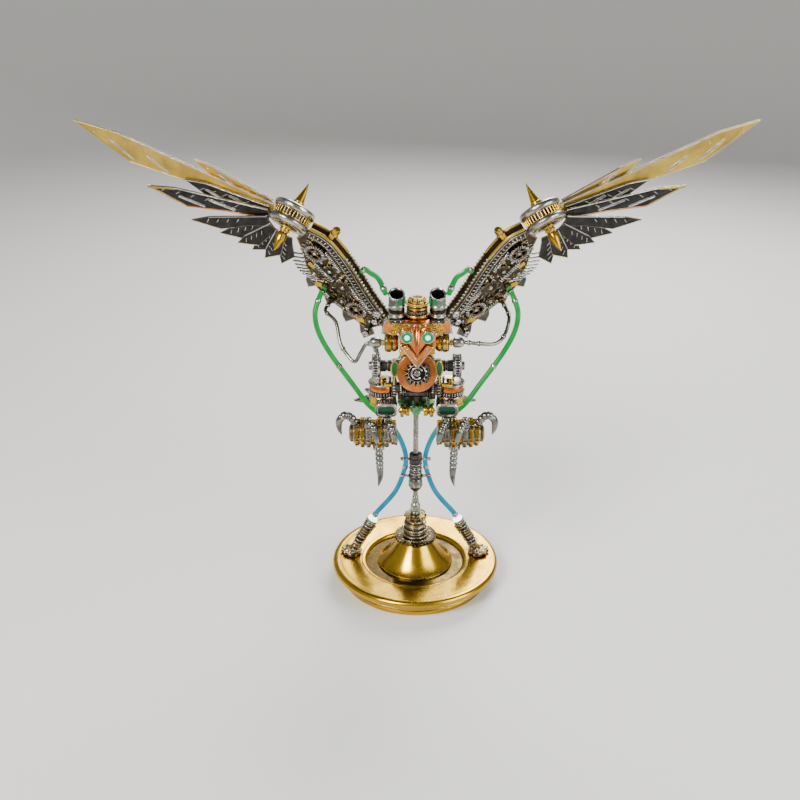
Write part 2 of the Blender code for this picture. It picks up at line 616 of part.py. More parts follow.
def make_talons(datum, frame_centre):
    """The feet: a drum of plates side by side, three claws curling over it and one hanging below."""
    top = frame_centre.z - FRAME_HEIGHT / 2 - GAP
    r = PALM_RADIUS
    axle = datum + Vector((PALM_INNER_X, frame_centre.y - 4 * MM, top - 1.2 * MM - r))
    x = PALM_LENGTH
    profile = [(0, x), (0.55 * r, x), (0.9 * r, 0.86 * x), (r, 0.72 * x), (r, 0.56 * x), (0.82 * r, 0.5 * x),
               (r, 0.42 * x), (r, 0.22 * x), (0.6 * r, 0), (0, 0)]
    palm = turned(profile, 8, axle, (1, 0, 0))
    saddle = block(datum + Vector((FRAME_CENTRE_X - 3 * MM, frame_centre.y - 3.5 * MM, top - 5 * MM)),
                   datum + Vector((FRAME_CENTRE_X + 3 * MM, frame_centre.y + 3 * MM, top)))
    place = {"outer": ((0.80, -0.2, 0.55), (0.93, -0.5, 1.35), (1.06, -0.75, 1.72), (1.19, -0.8, 1.3),
                       (1.19, -0.75, 0.65), (1.15, -0.7, 0.2)),
             "front_outer": ((0.62, -0.5, 0.7), (0.58, -1.05, 1.25), (0.49, -1.45, 1.05), (0.42, -1.6, 0.35),
                             (0.39, -1.5, -0.25)),
             "front_inner": ((0.18, -0.5, 0.7), (0.16, -1.05, 1.2), (0.10, -1.45, 1.0), (0.03, -1.6, 0.3),
                             (0.00, -1.5, -0.25)),
             "hanging": ((0.38, -0.1, -0.7), (0.37, -0.1, -1.7), (0.36, -0.15, -2.6), (0.35, -0.35, -3.4),
                         (0.39, -0.75, -3.95))}
    pieces = [palm, saddle]
    for points in place.values():
        spots = [axle + Vector((a * x, b * r, c * r)) for a, b, c in points]
        pieces.append(claw(spots, 2.3 * MM))
    knuckle = axle + Vector((0.38 * x, 0, -1.15 * r))
    pieces.append(round_bar(knuckle - Vector((3.4 * MM, 0, 0)), knuckle + Vector((3.4 * MM, 0, 0)), 1.9 * MM, 6))
    both_sides("talon", fused(pieces), BRASS)


def make_head(datum):
    """The head block with forehead, sockets, beak ridge, brim and side plates, then all that it carries."""
    half = HEAD_WIDTH / 2
    top = HEAD_BASE + HEAD_HEIGHT
    skull = block(datum + Vector((-half, HEAD_FRONT, HEAD_BASE)),
                  datum + Vector((half, HEAD_FRONT + HEAD_DEPTH, top)), 0.9)
    brim = block(datum + Vector((-GOGGLE_X - 4 * MM, CROWN_Y - 6 * MM, top - 2 * MM)),
                 datum + Vector((GOGGLE_X + 4 * MM, CROWN_Y + 6 * MM, top)))
    pieces = [skull, brim]
    for side in (-1, 1):
        eye = datum + Vector((side * EYE_OFFSET, HEAD_FRONT, EYE_HEIGHT))
        pieces.append(round_bar(eye + Vector((0, 3 * MM, 0)), eye - Vector((0, SOCKET_LENGTH, 0)),
                                EYE_RADIUS + 0.9 * MM))
        low = EAR_HEIGHT + EAR_RADIUS + GAP
        spread = [(side * 9 * MM, low), (side * 20 * MM, low), (side * 18.5 * MM, top - 1.5 * MM),
                  (side * 9 * MM, top - 0.5 * MM)]
        pieces.append(plate([spread], 1.5 * MM, datum + Vector((0, EAR_Y - 1 * MM, 0)), (0, -1, 0)))
    brow = [datum + Vector((0, HEAD_FRONT + 1 * MM, top - 1.5 * MM)),
            datum + Vector((0, HEAD_FRONT - 2.6 * MM, EYE_HEIGHT + 1 * MM)),
            datum + Vector((0, HEAD_FRONT - 5 * MM, EYE_HEIGHT - 5 * MM)),
            datum + Vector((0, HEAD_FRONT - 4.4 * MM, HEAD_BASE + 1.5 * MM))]
    route = smooth_route(brow, 5 * MM)
    last = len(route) - 1
    pieces.append(tube(route, 1.8 * MM, [1 - 0.6 * (step / last) ** 2 for step in range(last + 1)], 1))
    kept("head", fused(pieces), COPPER)

    lip = [(-8.4 * MM, 0), (-5.5 * MM, 1.2 * MM), (0, -6.5 * MM), (5.5 * MM, 1.2 * MM), (8.4 * MM, 0),
           (0.9 * MM, -12.2 * MM), (-0.9 * MM, -12.2 * MM)]
    beak = plate([lip], 1.2 * MM, datum + Vector((0, HEAD_FRONT - 0.6 * MM - GAP - 1.1 * MM, EYE_HEIGHT - BEAK_DROP)),
                 (0, -1, -0.09), 0)
    kept("beak_plate", beak, COPPER)

    r = EYE_RADIUS
    eye = turned([(0, 2 * MM), (0.45 * r, 1.7 * MM), (0.62 * r, 1 * MM), (0.95 * r, 1 * MM), (r, 0.6 * MM),
                  (r, 0), (0, 0)], 8,
                 datum + Vector((EYE_OFFSET, HEAD_FRONT - SOCKET_LENGTH - GAP, EYE_HEIGHT)), (0, -1, 0))
    both_sides("eye", eye, WHITE_LIGHT)

    r = CROWN_RADIUS
    h = CROWN_HEIGHT
    base = datum + Vector((0, CROWN_Y, top + GAP))
    stack = turned([(0, h), (0.55 * r, h), (0.8 * r, 0.86 * h), (0.8 * r, 0.58 * h), (0.95 * r, 0.5 * h),
                    (0.8 * r, 0.32 * h), (r, 0.18 * h), (r, 0), (0, 0)], 8, base)
    teeth = plate([gear_outline(CROWN_RADIUS, 0.9 * MM, 10)], 1.6 * MM, base + Vector((0, 0, 0.72 * h)))
    kept("crown_gear", fused([stack, teeth]), BRASS)

    r = GOGGLE_RADIUS
    h = GOGGLE_HEIGHT
    bore = r - GOGGLE_WALL
    goggle = turned([(0, h - GOGGLE_WELL), (bore, h - GOGGLE_WELL), (bore, h), (r, h), (r, 0.5 * h),
                     (0.86 * r, 0.44 * h), (r, 0.12 * h), (r, 0), (0, 0)],
                    9, datum + Vector((GOGGLE_X, CROWN_Y - 1 * MM, top + GAP)))
    both_sides("goggle", goggle, STEEL)

    r = EAR_RADIUS
    x = EAR_LENGTH
    ear = turned([(0, x), (0.55 * r, 0.92 * x), (0.55 * r, 0.68 * x), (0.3 * r, 0.62 * x), (0.3 * r, 0.5 * x),
                  (0.8 * r, 0.48 * x), (r, 0.38 * x), (0.8 * r, 0.27 * x), (0.95 * r, 0.16 * x), (0.7 * r, 0), (0, 0)],
                 8, datum + Vector((half + GAP, EAR_Y, EAR_HEIGHT)), (1, 0, 0))
    both_sides("ear", ear, BRASS)


def feather_outline(length, root, width, root_width):
    """A feather's edge: its long axis is +X, the leading side is -Y and the trailing side bulges more."""
    return [(root, -root_width / 2), (0.80 * length, -0.25 * width), (length, 0), (0.74 * length, 0.66 * width),
            (0.44 * length, 0.38 * width), (root, root_width / 2)]


def slot_outline(start, end, low, high):
    """A narrow slot that slants across a feather, with a pointed end each way."""
    half = SLOT_WIDTH / 2
    return [(start, low - half), (end - SLOT_WIDTH, high - half), (end, high + half),
            (start + SLOT_WIDTH, low + half)]


def spun(outline, angle):
    """An outline turned about the hub."""
    c = math.cos(angle)
    s = math.sin(angle)
    return [(c * x - s * y, s * x + c * y) for x, y in outline]


def make_tail(datum):
    """The tail: seven dark feathers spread from one hub behind the rump, each dipping towards its tip."""
    hub = datum + TAIL_HUB
    drop = TAIL_HUB_THICKNESS / 2
    pieces = [round_bar(hub - Vector((0, 0, drop)), hub + Vector((0, 0, drop)), TAIL_HUB_RADIUS, 8)]
    for index, heading in enumerate(TAIL_HEADINGS):
        angle = math.radians(90 - heading)
        length = TAIL_FEATHER_LENGTH * (1 - 0.14 * abs(heading) / 90)
        outline = feather_outline(length, 0, TAIL_FEATHER_WIDTH, 5 * MM)
        if heading > 0:
            outline = [(x, -y) for x, y in reversed(outline)]
        feather = plate([outline], FEATHER_THICKNESS)
        feather.location = hub + Vector((0, 0, (index % 2) * 0.5 * MM))
        feather.rotation_euler = (0, TAIL_DIP, angle)
        pieces.append(feather)
    kept("tail_fan", fused(pieces), GUNMETAL)


def wing_frame(datum):
    """The wing's own frame: its origin is the hub, X leads the fan, Y trails and Z stands off its upper side."""
    turn = Matrix.Rotation(WING_SWEEP, 4, "Z") @ Matrix.Rotation(-WING_RISE, 4, "Y")
    turn = turn @ Matrix.Rotation(WING_TILT, 4, "X")
    arm = Vector((ARM_LENGTH * math.cos(ARM_ANGLE), ARM_LENGTH * math.sin(ARM_ANGLE), ARM_LEVEL))
    inset = Vector((3.7 * MM, 1.5 * MM, 1.5 * MM))
    hub = datum + SHOULDER + inset - turn.to_3x3() @ arm
    return Matrix.Translation(hub) @ turn


def hub_frame(frame):
    """The hub's own frame: it leans out of the feathers' plane, about the long feather's line."""
    return frame @ Matrix.Rotation(HUB_TILT, 4, "X")


def seated(piece, frame):
    """Moves a piece that was made in a frame to its place in the world."""
    bpy.context.view_layer.update()
    piece.matrix_world = frame @ piece.matrix_world
    return piece


def arm_point(share, across):
    """A point of the wing's plane, by its share of the way from hub to shoulder and its distance across."""
    along = share * ARM_LENGTH
    c = math.cos(ARM_ANGLE)
    s = math.sin(ARM_ANGLE)
    return (along * c + across * s, along * s - across * c)


def make_wing_arm(frame, datum):
    """The arm: a toothed rail along the front, a web of plates behind it, gears, a knob and a bolt."""
    spine = [(0.10, -4 * MM), (0.22, -10.5 * MM), (0.36, -10.5 * MM), (0.52, -8 * MM), (0.73, -3.5 * MM),
             (0.93, -0.5 * MM), (1.0, 0)]
    route = smooth_route([Vector((*arm_point(*spot), 0)) for spot in spine], ARM_LENGTH * 0.9 / (2 * RAIL_TEETH))
    front = []
    rear = []
    for index, spot in enumerate(route):
        ahead = route[min(index + 1, len(route) - 1)] - route[max(index - 1, 0)]
        across = Vector((ahead.y, -ahead.x, 0)).normalized()
        tooth = RAIL_TOOTH_DEPTH if index % 2 else 0
        front.append(spot - across * (RAIL_WIDTH / 2 - tooth))
        rear.append(spot + across * RAIL_WIDTH / 2)
    rail_edge = [(p.x, p.y) for p in front] + [(p.x, p.y) for p in reversed(rear[::3] + rear[-1:])]
    rail = plate([rail_edge], RAIL_THICKNESS, (0, 0, ARM_LEVEL))
    web_spots = [(0.10, -6 * MM), (0.10, 6 * MM), (0.21, 9 * MM), (0.36, 17 * MM), (0.46, 22 * MM), (0.62, 24 * MM),
                 (0.80, 20 * MM), (0.99, 17 * MM), (1.0, 0), (0.7, -4 * MM), (0.4, -10 * MM)]
    web = plate([[arm_point(*spot) for spot in web_spots]], WEB_THICKNESS, (0, 0, ARM_LEVEL))
    pieces = [rail, web]
    under = ARM_LEVEL - WEB_THICKNESS / 2
    for share, across, radius in ARM_GEARS:
        x, y = arm_point(share, across)
        outline = [(x + a, y + b) for a, b in gear_outline(radius, 1.3 * MM, 8)]
        pieces.append(plate([outline], ARM_GEAR_THICKNESS, (0, 0, under - ARM_GEAR_THICKNESS / 2 + 0.1 * MM)))
    for share, across in (LIGHT_SOCKET, PIPE_SOCKET):
        x, y = arm_point(share, across)
        pieces.append(round_bar((x, y, ARM_LEVEL), (x, y, under - SOCKET_DEPTH), SOCKET_RADIUS, 6))
    inner = Vector((*arm_point(0.24, -12 * MM), ARM_LEVEL))
    outer = Vector((*arm_point(0.20, -21.5 * MM), ARM_LEVEL))
    pieces.append(round_bar(inner, outer, 2.8 * MM, 6))
    x, y = arm_point(0.97, 13 * MM)
    pieces.append(round_bar((x, y, ARM_LEVEL), (x, y, ARM_LEVEL - 9 * MM), 2.2 * MM, 6))
    pieces = [seated(piece, frame) for piece in pieces]
    socket = datum + SHOULDER + Vector((GAP, 0, 0))
    pieces.append(round_bar(socket, socket + Vector((7 * MM, 0, 0)), SHOULDER_RADIUS + 0.6 * MM))
    arm = fused(pieces)
    sides = 16
    reach = (HUB_RADIUS + GAP) / math.cos(math.pi / sides)
    notch = round_bar((0, 0, -ARM_LENGTH / 2), (0, 0, ARM_LENGTH / 2), reach, sides)
    both_sides("wing_arm", cut(arm, seated(notch, hub_frame(frame))), BRONZE)


def make_wing_hub(frame):
    """The wing's outer joint: two thick rings on a band, with a spike above and below."""
    low_top = HUB_LOWER_LEVEL
    low = low_top - HUB_RING_THICKNESS
    high_base = low_top + FAN_ROWS * (FEATHER_THICKNESS + GAP) + ROW_LIFT + GAP
    high = high_base + HUB_RING_THICKNESS
    r = HUB_RADIUS
    band = HUB_BAND_RADIUS
    rings = turned([(0, high), (0.8 * r, high), (r, high - 1.2 * MM), (r, high_base), (band, high_base),
                    (band, low_top), (r, low_top), (r, low + 1.2 * MM), (0.8 * r, low), (0, low)], 14)
    pieces = [rings]
    for side, start in ((1, high), (-1, low)):
        waist = start + side * 0.3 * SPIKE_LENGTH
        tip = start + side * SPIKE_LENGTH
        pieces.append(round_bar((0, 0, start - side * MM), (0, 0, waist), 0.8 * SPIKE_RADIUS, 5))
        pieces.append(round_bar((0, 0, waist - side * 0.3 * MM), (0, 0, tip), SPIKE_RADIUS, 5, 0.1 * MM))
    both_sides("wing_hub", fused([seated(piece, hub_frame(frame)) for piece in pieces]), STEEL)


def make_feathers(frame):
    """The wing's fan, stacked from the rear feathers up. Only the long root reaches in to the hub's band."""
    rim = HUB_RADIUS + GAP + RIM_CLEARANCE
    band = HUB_BAND_RADIUS + GAP
    step = FEATHER_THICKNESS + GAP
    level = HUB_LOWER_LEVEL + GAP + FEATHER_THICKNESS / 2
    rear = []
    fan = ((37.8, 65.7), (49, 52), (60, 45), (71, 41), (83, 40), (98, 38))
    for index, (angle, length) in enumerate(fan):
        length *= MM
        edge = feather_outline(length, rim, 10 * MM, 7 * MM)
        lift = ROW_LIFT * (index % 2)
        rear.append(plate([spun(edge, math.radians(angle))], FEATHER_THICKNESS, (0, 0, level + lift)))
    both_sides("rear_fan", fused([seated(piece, frame) for piece in rear]), GUNMETAL)

    rows = (("second_feather", 22, 87.8, 14, 7, rim, ((0.60, 0.78, 5.5, 2.2), (0.38, 0.56, 2.6, -0.4)), BRASS),
            ("third_feather", 12.3, 63.8, 12, 6, rim, ((0.62, 0.80, 4.6, 1.6), (0.40, 0.58, 2.4, -0.2)), BRONZE),
            ("long_feather", 6.3, 130.9, 20, 8, band, ((0.56, 0.663, 8.0, 2.4), (0.715, 0.837, 9.8, 2.4)), BRASS),
            ("upper_feather", -2.6, 60.7, 10, 6, rim, ((0.55, 0.75, 2.6, 0.2),), BRASS))
    level += ROW_LIFT
    for name, angle, length, width, root_width, root, slots, look in rows:
        level += step
        length *= MM
        spin = math.radians(angle)
        outlines = [spun(feather_outline(length, root, width * MM, root_width * MM), spin)]
        for start, end, low, high in slots:
            outlines.append(spun(slot_outline(start * length, end * length, low * MM, high * MM), spin))
        feather = seated(plate(outlines, FEATHER_THICKNESS, (0, 0, level)), frame)
        both_sides(name, feather, look)


def make_arm_feathers(frame):
    """The short feathers behind the arm, fused where they overlap and seated on the web."""
    pieces = []
    level = ARM_LEVEL + WEB_THICKNESS / 2 + GAP + FEATHER_THICKNESS / 2
    for index in range(4):
        share = 0.36 + 0.17 * index
        x, y = arm_point(share, 11 * MM)
        spin = math.radians(96 + 4 * index)
        edge = [(x + a, y + b) for a, b in spun(feather_outline(26 * MM, 0, 10 * MM, 9 * MM), spin)]
        pieces.append(plate([edge], FEATHER_THICKNESS, (0, 0, level + ROW_LIFT * (index % 2))))
    strip = [arm_point(0.30, 8 * MM), arm_point(0.94, 8 * MM), arm_point(0.94, 12 * MM), arm_point(0.30, 12 * MM)]
    pieces.append(plate([strip], 1.2 * MM, (0, 0, level + 0.2 * MM)))
    both_sides("arm_feathers", fused([seated(piece, frame) for piece in pieces]), GUNMETAL)


def make_tubes(datum, lamp_end, lamp_lean, clips, frame):
    """The light tubes from the lamps up to the wings, the crown tubes and the two silver pipes."""
    low_clip, high_clip = clips
    behind = LIGHT_TUBE_RADIUS + CROSSBAR_RADIUS + GAP
    under = ARM_LEVEL - WEB_THICKNESS / 2 - SOCKET_DEPTH - 1.6 * GAP
    leave = 7 * MM
    wing_spot = frame @ Vector((*arm_point(*LIGHT_SOCKET), under))
    wing_way = frame @ Vector((*arm_point(*LIGHT_SOCKET), under - leave))
    points = [lamp_end, lamp_end + lamp_lean * 4 * MM,
              Vector((12.8 * MM, 4.2 * MM, low_clip - 14 * MM)),
              Vector((7.4 * MM, behind + 0.8 * MM, low_clip)),
              Vector((5.9 * MM, behind + 0.1 * MM, high_clip)),
              Vector((9.5 * MM, 1.5 * MM, high_clip + 13 * MM)),
              datum + Vector((15, -4, -5)) * MM,
              datum + Vector((21.5, -7.5, 3.4)) * MM,
              datum + Vector((28.6, -8, 10.5)) * MM,
              datum + Vector((37, -5, 21.5)) * MM,
              datum + Vector((49.5, -1, 38.5)) * MM,
              datum + Vector((56.4, 1.5, 51.5)) * MM,
              datum + Vector((58.2, 4, 62)) * MM,
              wing_way, wing_spot]
    route = smooth_route(points, 9 * MM)
    both_sides("light_tube", tube(route, LIGHT_TUBE_RADIUS), GREEN_LIGHT)

    goggle_side = datum + Vector((GOGGLE_X + GOGGLE_RADIUS + 1.3 * MM, CROWN_Y, HEAD_BASE + HEAD_HEIGHT + 13 * MM))
    start = frame @ Vector((*arm_point(0.55, -12.5 * MM), ARM_LEVEL))
    away = frame @ Vector((*arm_point(0.55, -16 * MM), ARM_LEVEL))
    points = [start, away, datum + Vector((26, 0.5, 87)) * MM, datum + Vector((21.5, -6, 85.8)) * MM, goggle_side]
    both_sides("crown_tube", tube(smooth_route(points, 8 * MM), LIGHT_TUBE_RADIUS), GREEN_LIGHT)

    spot = frame @ Vector((*arm_point(*PIPE_SOCKET), under))
    way = frame @ Vector((*arm_point(*PIPE_SOCKET), under - leave))
    flip = Matrix.Scale(-1, 4, (1, 0, 0))
    bend = [flip @ spot, flip @ way]
    for x, y, z in ((-46.6, 6, 56), (-43.8, -2, 46), (-39.5, -6, 39.9), (-35.2, -9, 37.3), (-31.7, -10, 43.5),
                    (-28.5, -10, 48.6), (-24.8, -10, 47.4)):
        bend.append(datum + Vector((x, y, z)) * MM)
    wheel = wheel_centre()
    wheel_top = Vector((WHEEL_INNER_X + 1.6 * MM, wheel.y, wheel.z + WHEEL_RADIUS + 2 * GAP))
    bend.append(flip @ (datum + wheel_top))
    kept("silver_tube_left", tube(smooth_route(bend, 5.5 * MM), SILVER_TUBE_RADIUS), STEEL)
    bend = [spot, way]
    for x, y, z in ((53.4, 6, 58), (51.4, 0, 52.4), (47.5, -6, 48.8), (42.8, -9, 48), (35.9, -12, 49.4)):
        bend.append(datum + Vector((x, y, z)) * MM)
    ear_end = HEAD_WIDTH / 2 + EAR_LENGTH + 2 * GAP
    bend.append(datum + Vector((ear_end, EAR_Y, EAR_HEIGHT)))
    kept("silver_tube_right", tube(smooth_route(bend, 5.5 * MM), SILVER_TUBE_RADIUS), STEEL)


make_dish()
clip_levels, pole_top = make_pole()
lamp_end, lamp_lean = make_lamps()
bird = Vector((0, 0, pole_top))
make_belly_gear(bird)
make_torso(bird)
make_chest(bird)
frame_middle = make_hips(bird)
make_talons(bird, frame_middle)
make_head(bird)
make_tail(bird)
wing = wing_frame(bird)
make_wing_arm(wing, bird)
make_wing_hub(wing)
make_feathers(wing)
make_arm_feathers(wing)
make_tubes(bird, lamp_end, lamp_lean, clip_levels, wing)
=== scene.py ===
from math import atan2, cos, pi, radians, sin, tan

import bmesh
import bpy
from mathutils import Matrix, Vector


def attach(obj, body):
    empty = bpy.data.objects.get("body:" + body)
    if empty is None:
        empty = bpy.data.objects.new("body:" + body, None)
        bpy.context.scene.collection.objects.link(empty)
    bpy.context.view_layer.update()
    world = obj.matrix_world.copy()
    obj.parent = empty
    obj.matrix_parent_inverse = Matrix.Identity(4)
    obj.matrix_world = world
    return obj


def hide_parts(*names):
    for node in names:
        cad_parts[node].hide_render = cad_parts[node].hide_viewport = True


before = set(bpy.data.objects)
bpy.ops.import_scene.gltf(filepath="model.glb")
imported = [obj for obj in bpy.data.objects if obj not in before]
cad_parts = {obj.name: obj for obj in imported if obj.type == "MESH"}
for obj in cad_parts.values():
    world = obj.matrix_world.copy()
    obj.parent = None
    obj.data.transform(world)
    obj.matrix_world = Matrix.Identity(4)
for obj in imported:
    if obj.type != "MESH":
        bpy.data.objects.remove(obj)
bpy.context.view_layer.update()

# ---- the dish
# The plinth is turned from one piece of brass and polished. It has a rolled rim, a sloping ring, a groove
# whose dark floor is painted shade, and a bell-shaped dome which carries the pole.
MM = 0.001
SHARP_CORNER = 32


def shader_group(name, inputs, outputs):
    """An empty shader group with its sockets, and the nodes at its two ends."""
    tree = bpy.data.node_groups.new(name, "ShaderNodeTree")
    for label, kind, value in inputs:
        socket = tree.interface.new_socket(label, in_out="INPUT", socket_type=kind)
        socket.default_value = value
    for label, kind in outputs:
        tree.interface.new_socket(label, in_out="OUTPUT", socket_type=kind)
    return tree, tree.nodes.new("NodeGroupInput"), tree.nodes.new("NodeGroupOutput")


def add(tree, kind, values=(), **settings):
    """A shader node with its settings, and the values of its sockets."""
    node = tree.nodes.new("ShaderNode" + kind)
    for name, value in settings.items():
        setattr(node, name, value)
    for socket, value in dict(values).items():
        node.inputs[socket].default_value = value
    return node


def wire(tree, *links):
    """Links between nodes, each given as (from, its socket, to, its socket)."""
    for source, output, target, entry in links:
        tree.links.new(source.outputs[output], target.inputs[entry])


def edge_wear_and_highlight_group():
    """Corners made bright, partly as rubbed wear and partly as a painted highlight: a mask that is 1 on an edge, and
    the rounded normal that goes with it.
    """
    tree, start, end = shader_group(
        "edge_wear_and_highlight",
        (("Radius", "NodeSocketFloat", 0.00025), ("Reach", "NodeSocketFloat", 0.12)),
        (("Mask", "NodeSocketFloat"), ("Normal", "NodeSocketVector")))
    bevel = add(tree, "Bevel", samples=4)
    here = add(tree, "NewGeometry")
    dot = add(tree, "VectorMath", operation="DOT_PRODUCT")
    bend = add(tree, "Math", {0: 1}, operation="SUBTRACT")
    spread = add(tree, "MapRange")
    wire(tree, (start, "Radius", bevel, "Radius"), (bevel, "Normal", dot, 0), (here, "Normal", dot, 1),
         (dot, "Value", bend, 1), (bend, 0, spread, "Value"), (start, "Reach", spread, "From Max"),
         (spread, "Result", end, "Mask"), (bevel, "Normal", end, "Normal"))
    return tree


def metal_skin_group():
    """Old metal's colouring: cloudy tarnish, a fine grain and hair scratches, all fixed to the piece."""
    tree, start, end = shader_group(
        "metal_skin",
        (("Cloud Scale", "NodeSocketFloat", 180), ("Grain Scale", "NodeSocketFloat", 2600),
         ("Scratch Stretch", "NodeSocketVector", (1, 1, 1))),
        (("Cloud", "NodeSocketFloat"), ("Grain", "NodeSocketFloat"), ("Scratch", "NodeSocketFloat")))
    place = add(tree, "TexCoord")
    cloud = add(tree, "TexNoise", {"Detail": 5, "Roughness": 0.62})
    firm = add(tree, "MapRange", {"From Min": 0.36, "From Max": 0.68})
    grain = add(tree, "TexNoise", {"Detail": 2})
    stretch = add(tree, "VectorMath", operation="MULTIPLY")
    scratch = add(tree, "TexNoise", {"Scale": 900, "Detail": 3})
    thin = add(tree, "MapRange", {"From Min": 0.5, "From Max": 0.72})
    wire(tree, (place, "Object", cloud, "Vector"), (place, "Object", grain, "Vector"),
         (place, "Object", stretch, 0), (start, "Scratch Stretch", stretch, 1),
         (stretch, "Vector", scratch, "Vector"), (start, "Cloud Scale", cloud, "Scale"),
         (start, "Grain Scale", grain, "Scale"), (cloud, "Fac", firm, "Value"), (scratch, "Fac", thin, "Value"),
         (firm, "Result", end, "Cloud"), (grain, "Fac", end, "Grain"), (thin, "Result", end, "Scratch"))
    return tree


EDGE_WEAR_AND_HIGHLIGHT = edge_wear_and_highlight_group()
METAL_SKIN = metal_skin_group()


def shaded(name):
    """A new material, its tree and its shader."""
    material = bpy.data.materials.new(name)
    material.use_nodes = True
    return material, material.node_tree, material.node_tree.nodes["Principled BSDF"]


def metal(name, slot, body, tarnish, rubbed_and_highlit, smooth, dull, cloud=180, stretch=(1, 1, 1), edge=0.00025, relief=0.12):
    """A metal finish and its slot: body colour, cloudy tarnish, corners lightened as rubbed wear and painted
    highlight, and how smooth or dull it gets.
    """
    material, tree, shader = shaded(name)
    shader.inputs["Metallic"].default_value = 1
    skin = add(tree, "Group", {"Cloud Scale": cloud, "Scratch Stretch": stretch}, node_tree=METAL_SKIN)
    edges = add(tree, "Group", {"Radius": edge}, node_tree=EDGE_WEAR_AND_HIGHLIGHT)
    clouded = add(tree, "Mix", {6: (*body, 1), 7: (*tarnish, 1)}, data_type="RGBA")
    # Edges mix towards the bright rubbed colour: partly wear, partly a painted highlight.
    worn_and_highlit = add(tree, "Mix", {7: (*rubbed_and_highlit, 1)}, data_type="RGBA")
    mottle = add(tree, "Math", {1: 0.35}, operation="MULTIPLY_ADD")
    rough = add(tree, "MapRange", {"To Min": smooth, "To Max": dull})
    height = add(tree, "Math", operation="ADD")
    bump = add(tree, "Bump", {"Strength": relief, "Distance": 0.0001})
    wire(tree, (skin, "Cloud", clouded, 0), (clouded, 2, worn_and_highlit, 6), (edges, "Mask", worn_and_highlit, 0),
         (worn_and_highlit, 2, shader, "Base Color"), (skin, "Scratch", mottle, 0), (skin, "Cloud", mottle, 2),
         (mottle, 0, rough, "Value"), (rough, "Result", shader, "Roughness"), (skin, "Grain", height, 0),
         (skin, "Scratch", height, 1), (height, 0, bump, "Height"), (edges, "Normal", bump, "Normal"),
         (bump, "Normal", shader, "Normal"))
    return material, slot


def turned(work, profile, place=Matrix(), steps=64, closed=False):
    """A turned shape from (radius, height) points. A closed profile makes a ring."""
    rings = []
    for radius, height in profile:
        count = steps if radius > 1e-6 else 1
        rings.append([work.verts.new(place @ Vector((radius * cos(2 * pi * i / steps),
                                                     radius * sin(2 * pi * i / steps), height)))
                      for i in range(count)])
    pairs = list(zip(rings, rings[1:]))
    if closed:
        pairs.append((rings[-1], rings[0]))
    for low, high in pairs:
        for i in range(steps):
            j = (i + 1) % steps
            corners = []
            for vert in (low[i % len(low)], low[j % len(low)], high[j % len(high)], high[i % len(high)]):
                if vert not in corners:
                    corners.append(vert)
            if len(corners) > 2:
                work.faces.new(corners)


def fitted(name, work, finish, nodes=(), pair=False):
    """Makes a piece from millimetres, with its mirror image if it is one of a pair, and fixes it to the bird.

    It leaves the bench empty for the next piece.
    """
    material, slot = finish
    bmesh.ops.recalc_face_normals(work, faces=work.faces)
    mesh = bpy.data.meshes.new(name)
    work.to_mesh(mesh)
    work.clear()
    mesh.transform(Matrix.Scale(MM, 4))
    mesh.materials.append(material)
    mesh.shade_smooth()
    mesh.set_sharp_from_angle(angle=radians(SHARP_CORNER))
    for side in (("_right", "_left") if pair else ("",)):
        shape = mesh
        if side == "_left":
            shape = mesh.copy()
            shape.transform(Matrix.Scale(-1, 4, (1, 0, 0)))
            shape.flip_normals()
        thing = bpy.data.objects.new(name + side, shape)
        bpy.context.scene.collection.objects.link(thing)
        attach(thing, "root")
        if nodes:
            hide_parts(*[node + side for node in nodes])


POLISHED_BRASS = metal("polished_brass_finish", "polished_brass", (0.56, 0.345, 0.026), (0.38, 0.225, 0.015),
                       (0.94, 0.74, 0.26), 0.15, 0.3, cloud=60, relief=0.06)
# A dark bronze used as painted shade, in the dish's groove and in the hub spikes' slots.
GROOVE_SHADE = metal("painted_groove_shade", "gunmetal", (0.11, 0.072, 0.014), (0.045, 0.03, 0.008),
                    (0.5, 0.36, 0.1), 0.2, 0.4)

work = bmesh.new()
dome = [(0, 27)]
for step in range(25):
    t = step / 24
    dome.append((10 + 13 * t, 11.3 + 15.7 * (1 - t) ** 1.35))
rim = [(46 + 0.6, 13)]
for step in range(9):
    turn = pi * (0.62 - 1.12 * step / 8)
    rim.append((49.4 + 2.6 * cos(turn), 10.6 + 2.6 * sin(turn)))
turned(work, dome + [(23.4, 11), (23.4, 10.2), (22.8, 9.6), (30, 9.6), (30.2, 10.6), (31.2, 11.9), (32, 12.3),
                     (33.4, 12.3), (33.8, 12), (45.2, 12.9)] + rim
       + [(50.6, 8), (46.2, 7.4), (45, 7), (45, 3.2), (45.6, 2.6), (45.6, 0.5), (45.2, 0), (0, 0)], steps=128)
fitted("dish_turned", work, POLISHED_BRASS, ("base_dish",))
# A thin dark ring on the groove's floor paints the shade that falls in the groove.
turned(work, [(23.2, 9.7), (29.9, 9.7), (29.9, 9.95), (23.2, 9.95)], steps=96, closed=True)
fitted("dish_groove_shade_ring", work, GROOVE_SHADE)

# ---- the foot of the pole
# A toothed wheel lies on the dome, under a stack of turned rings in which the pole stands. A smaller wheel
# closes the stack. They are cut from aged bronze and brass and held by small bolts.
AGED_BRONZE = metal("aged_bronze_finish", "aged_bronze", (0.24, 0.165, 0.06), (0.065, 0.045, 0.02),
                    (0.88, 0.7, 0.34), 0.2, 0.46)
DARK_BRONZE = metal("dark_bronze_finish", "aged_bronze", (0.075, 0.052, 0.028), (0.025, 0.018, 0.011),
                    (0.72, 0.56, 0.3), 0.24, 0.5)
SILVER_STEEL = metal("silver_steel_finish", "silver_steel", (0.5, 0.49, 0.45), (0.15, 0.14, 0.12),
                     (0.95, 0.94, 0.9), 0.12, 0.34)
GUNMETAL = metal("gunmetal_finish", "gunmetal", (0.085, 0.08, 0.078), (0.03, 0.028, 0.026),
                 (0.66, 0.6, 0.5), 0.2, 0.5)


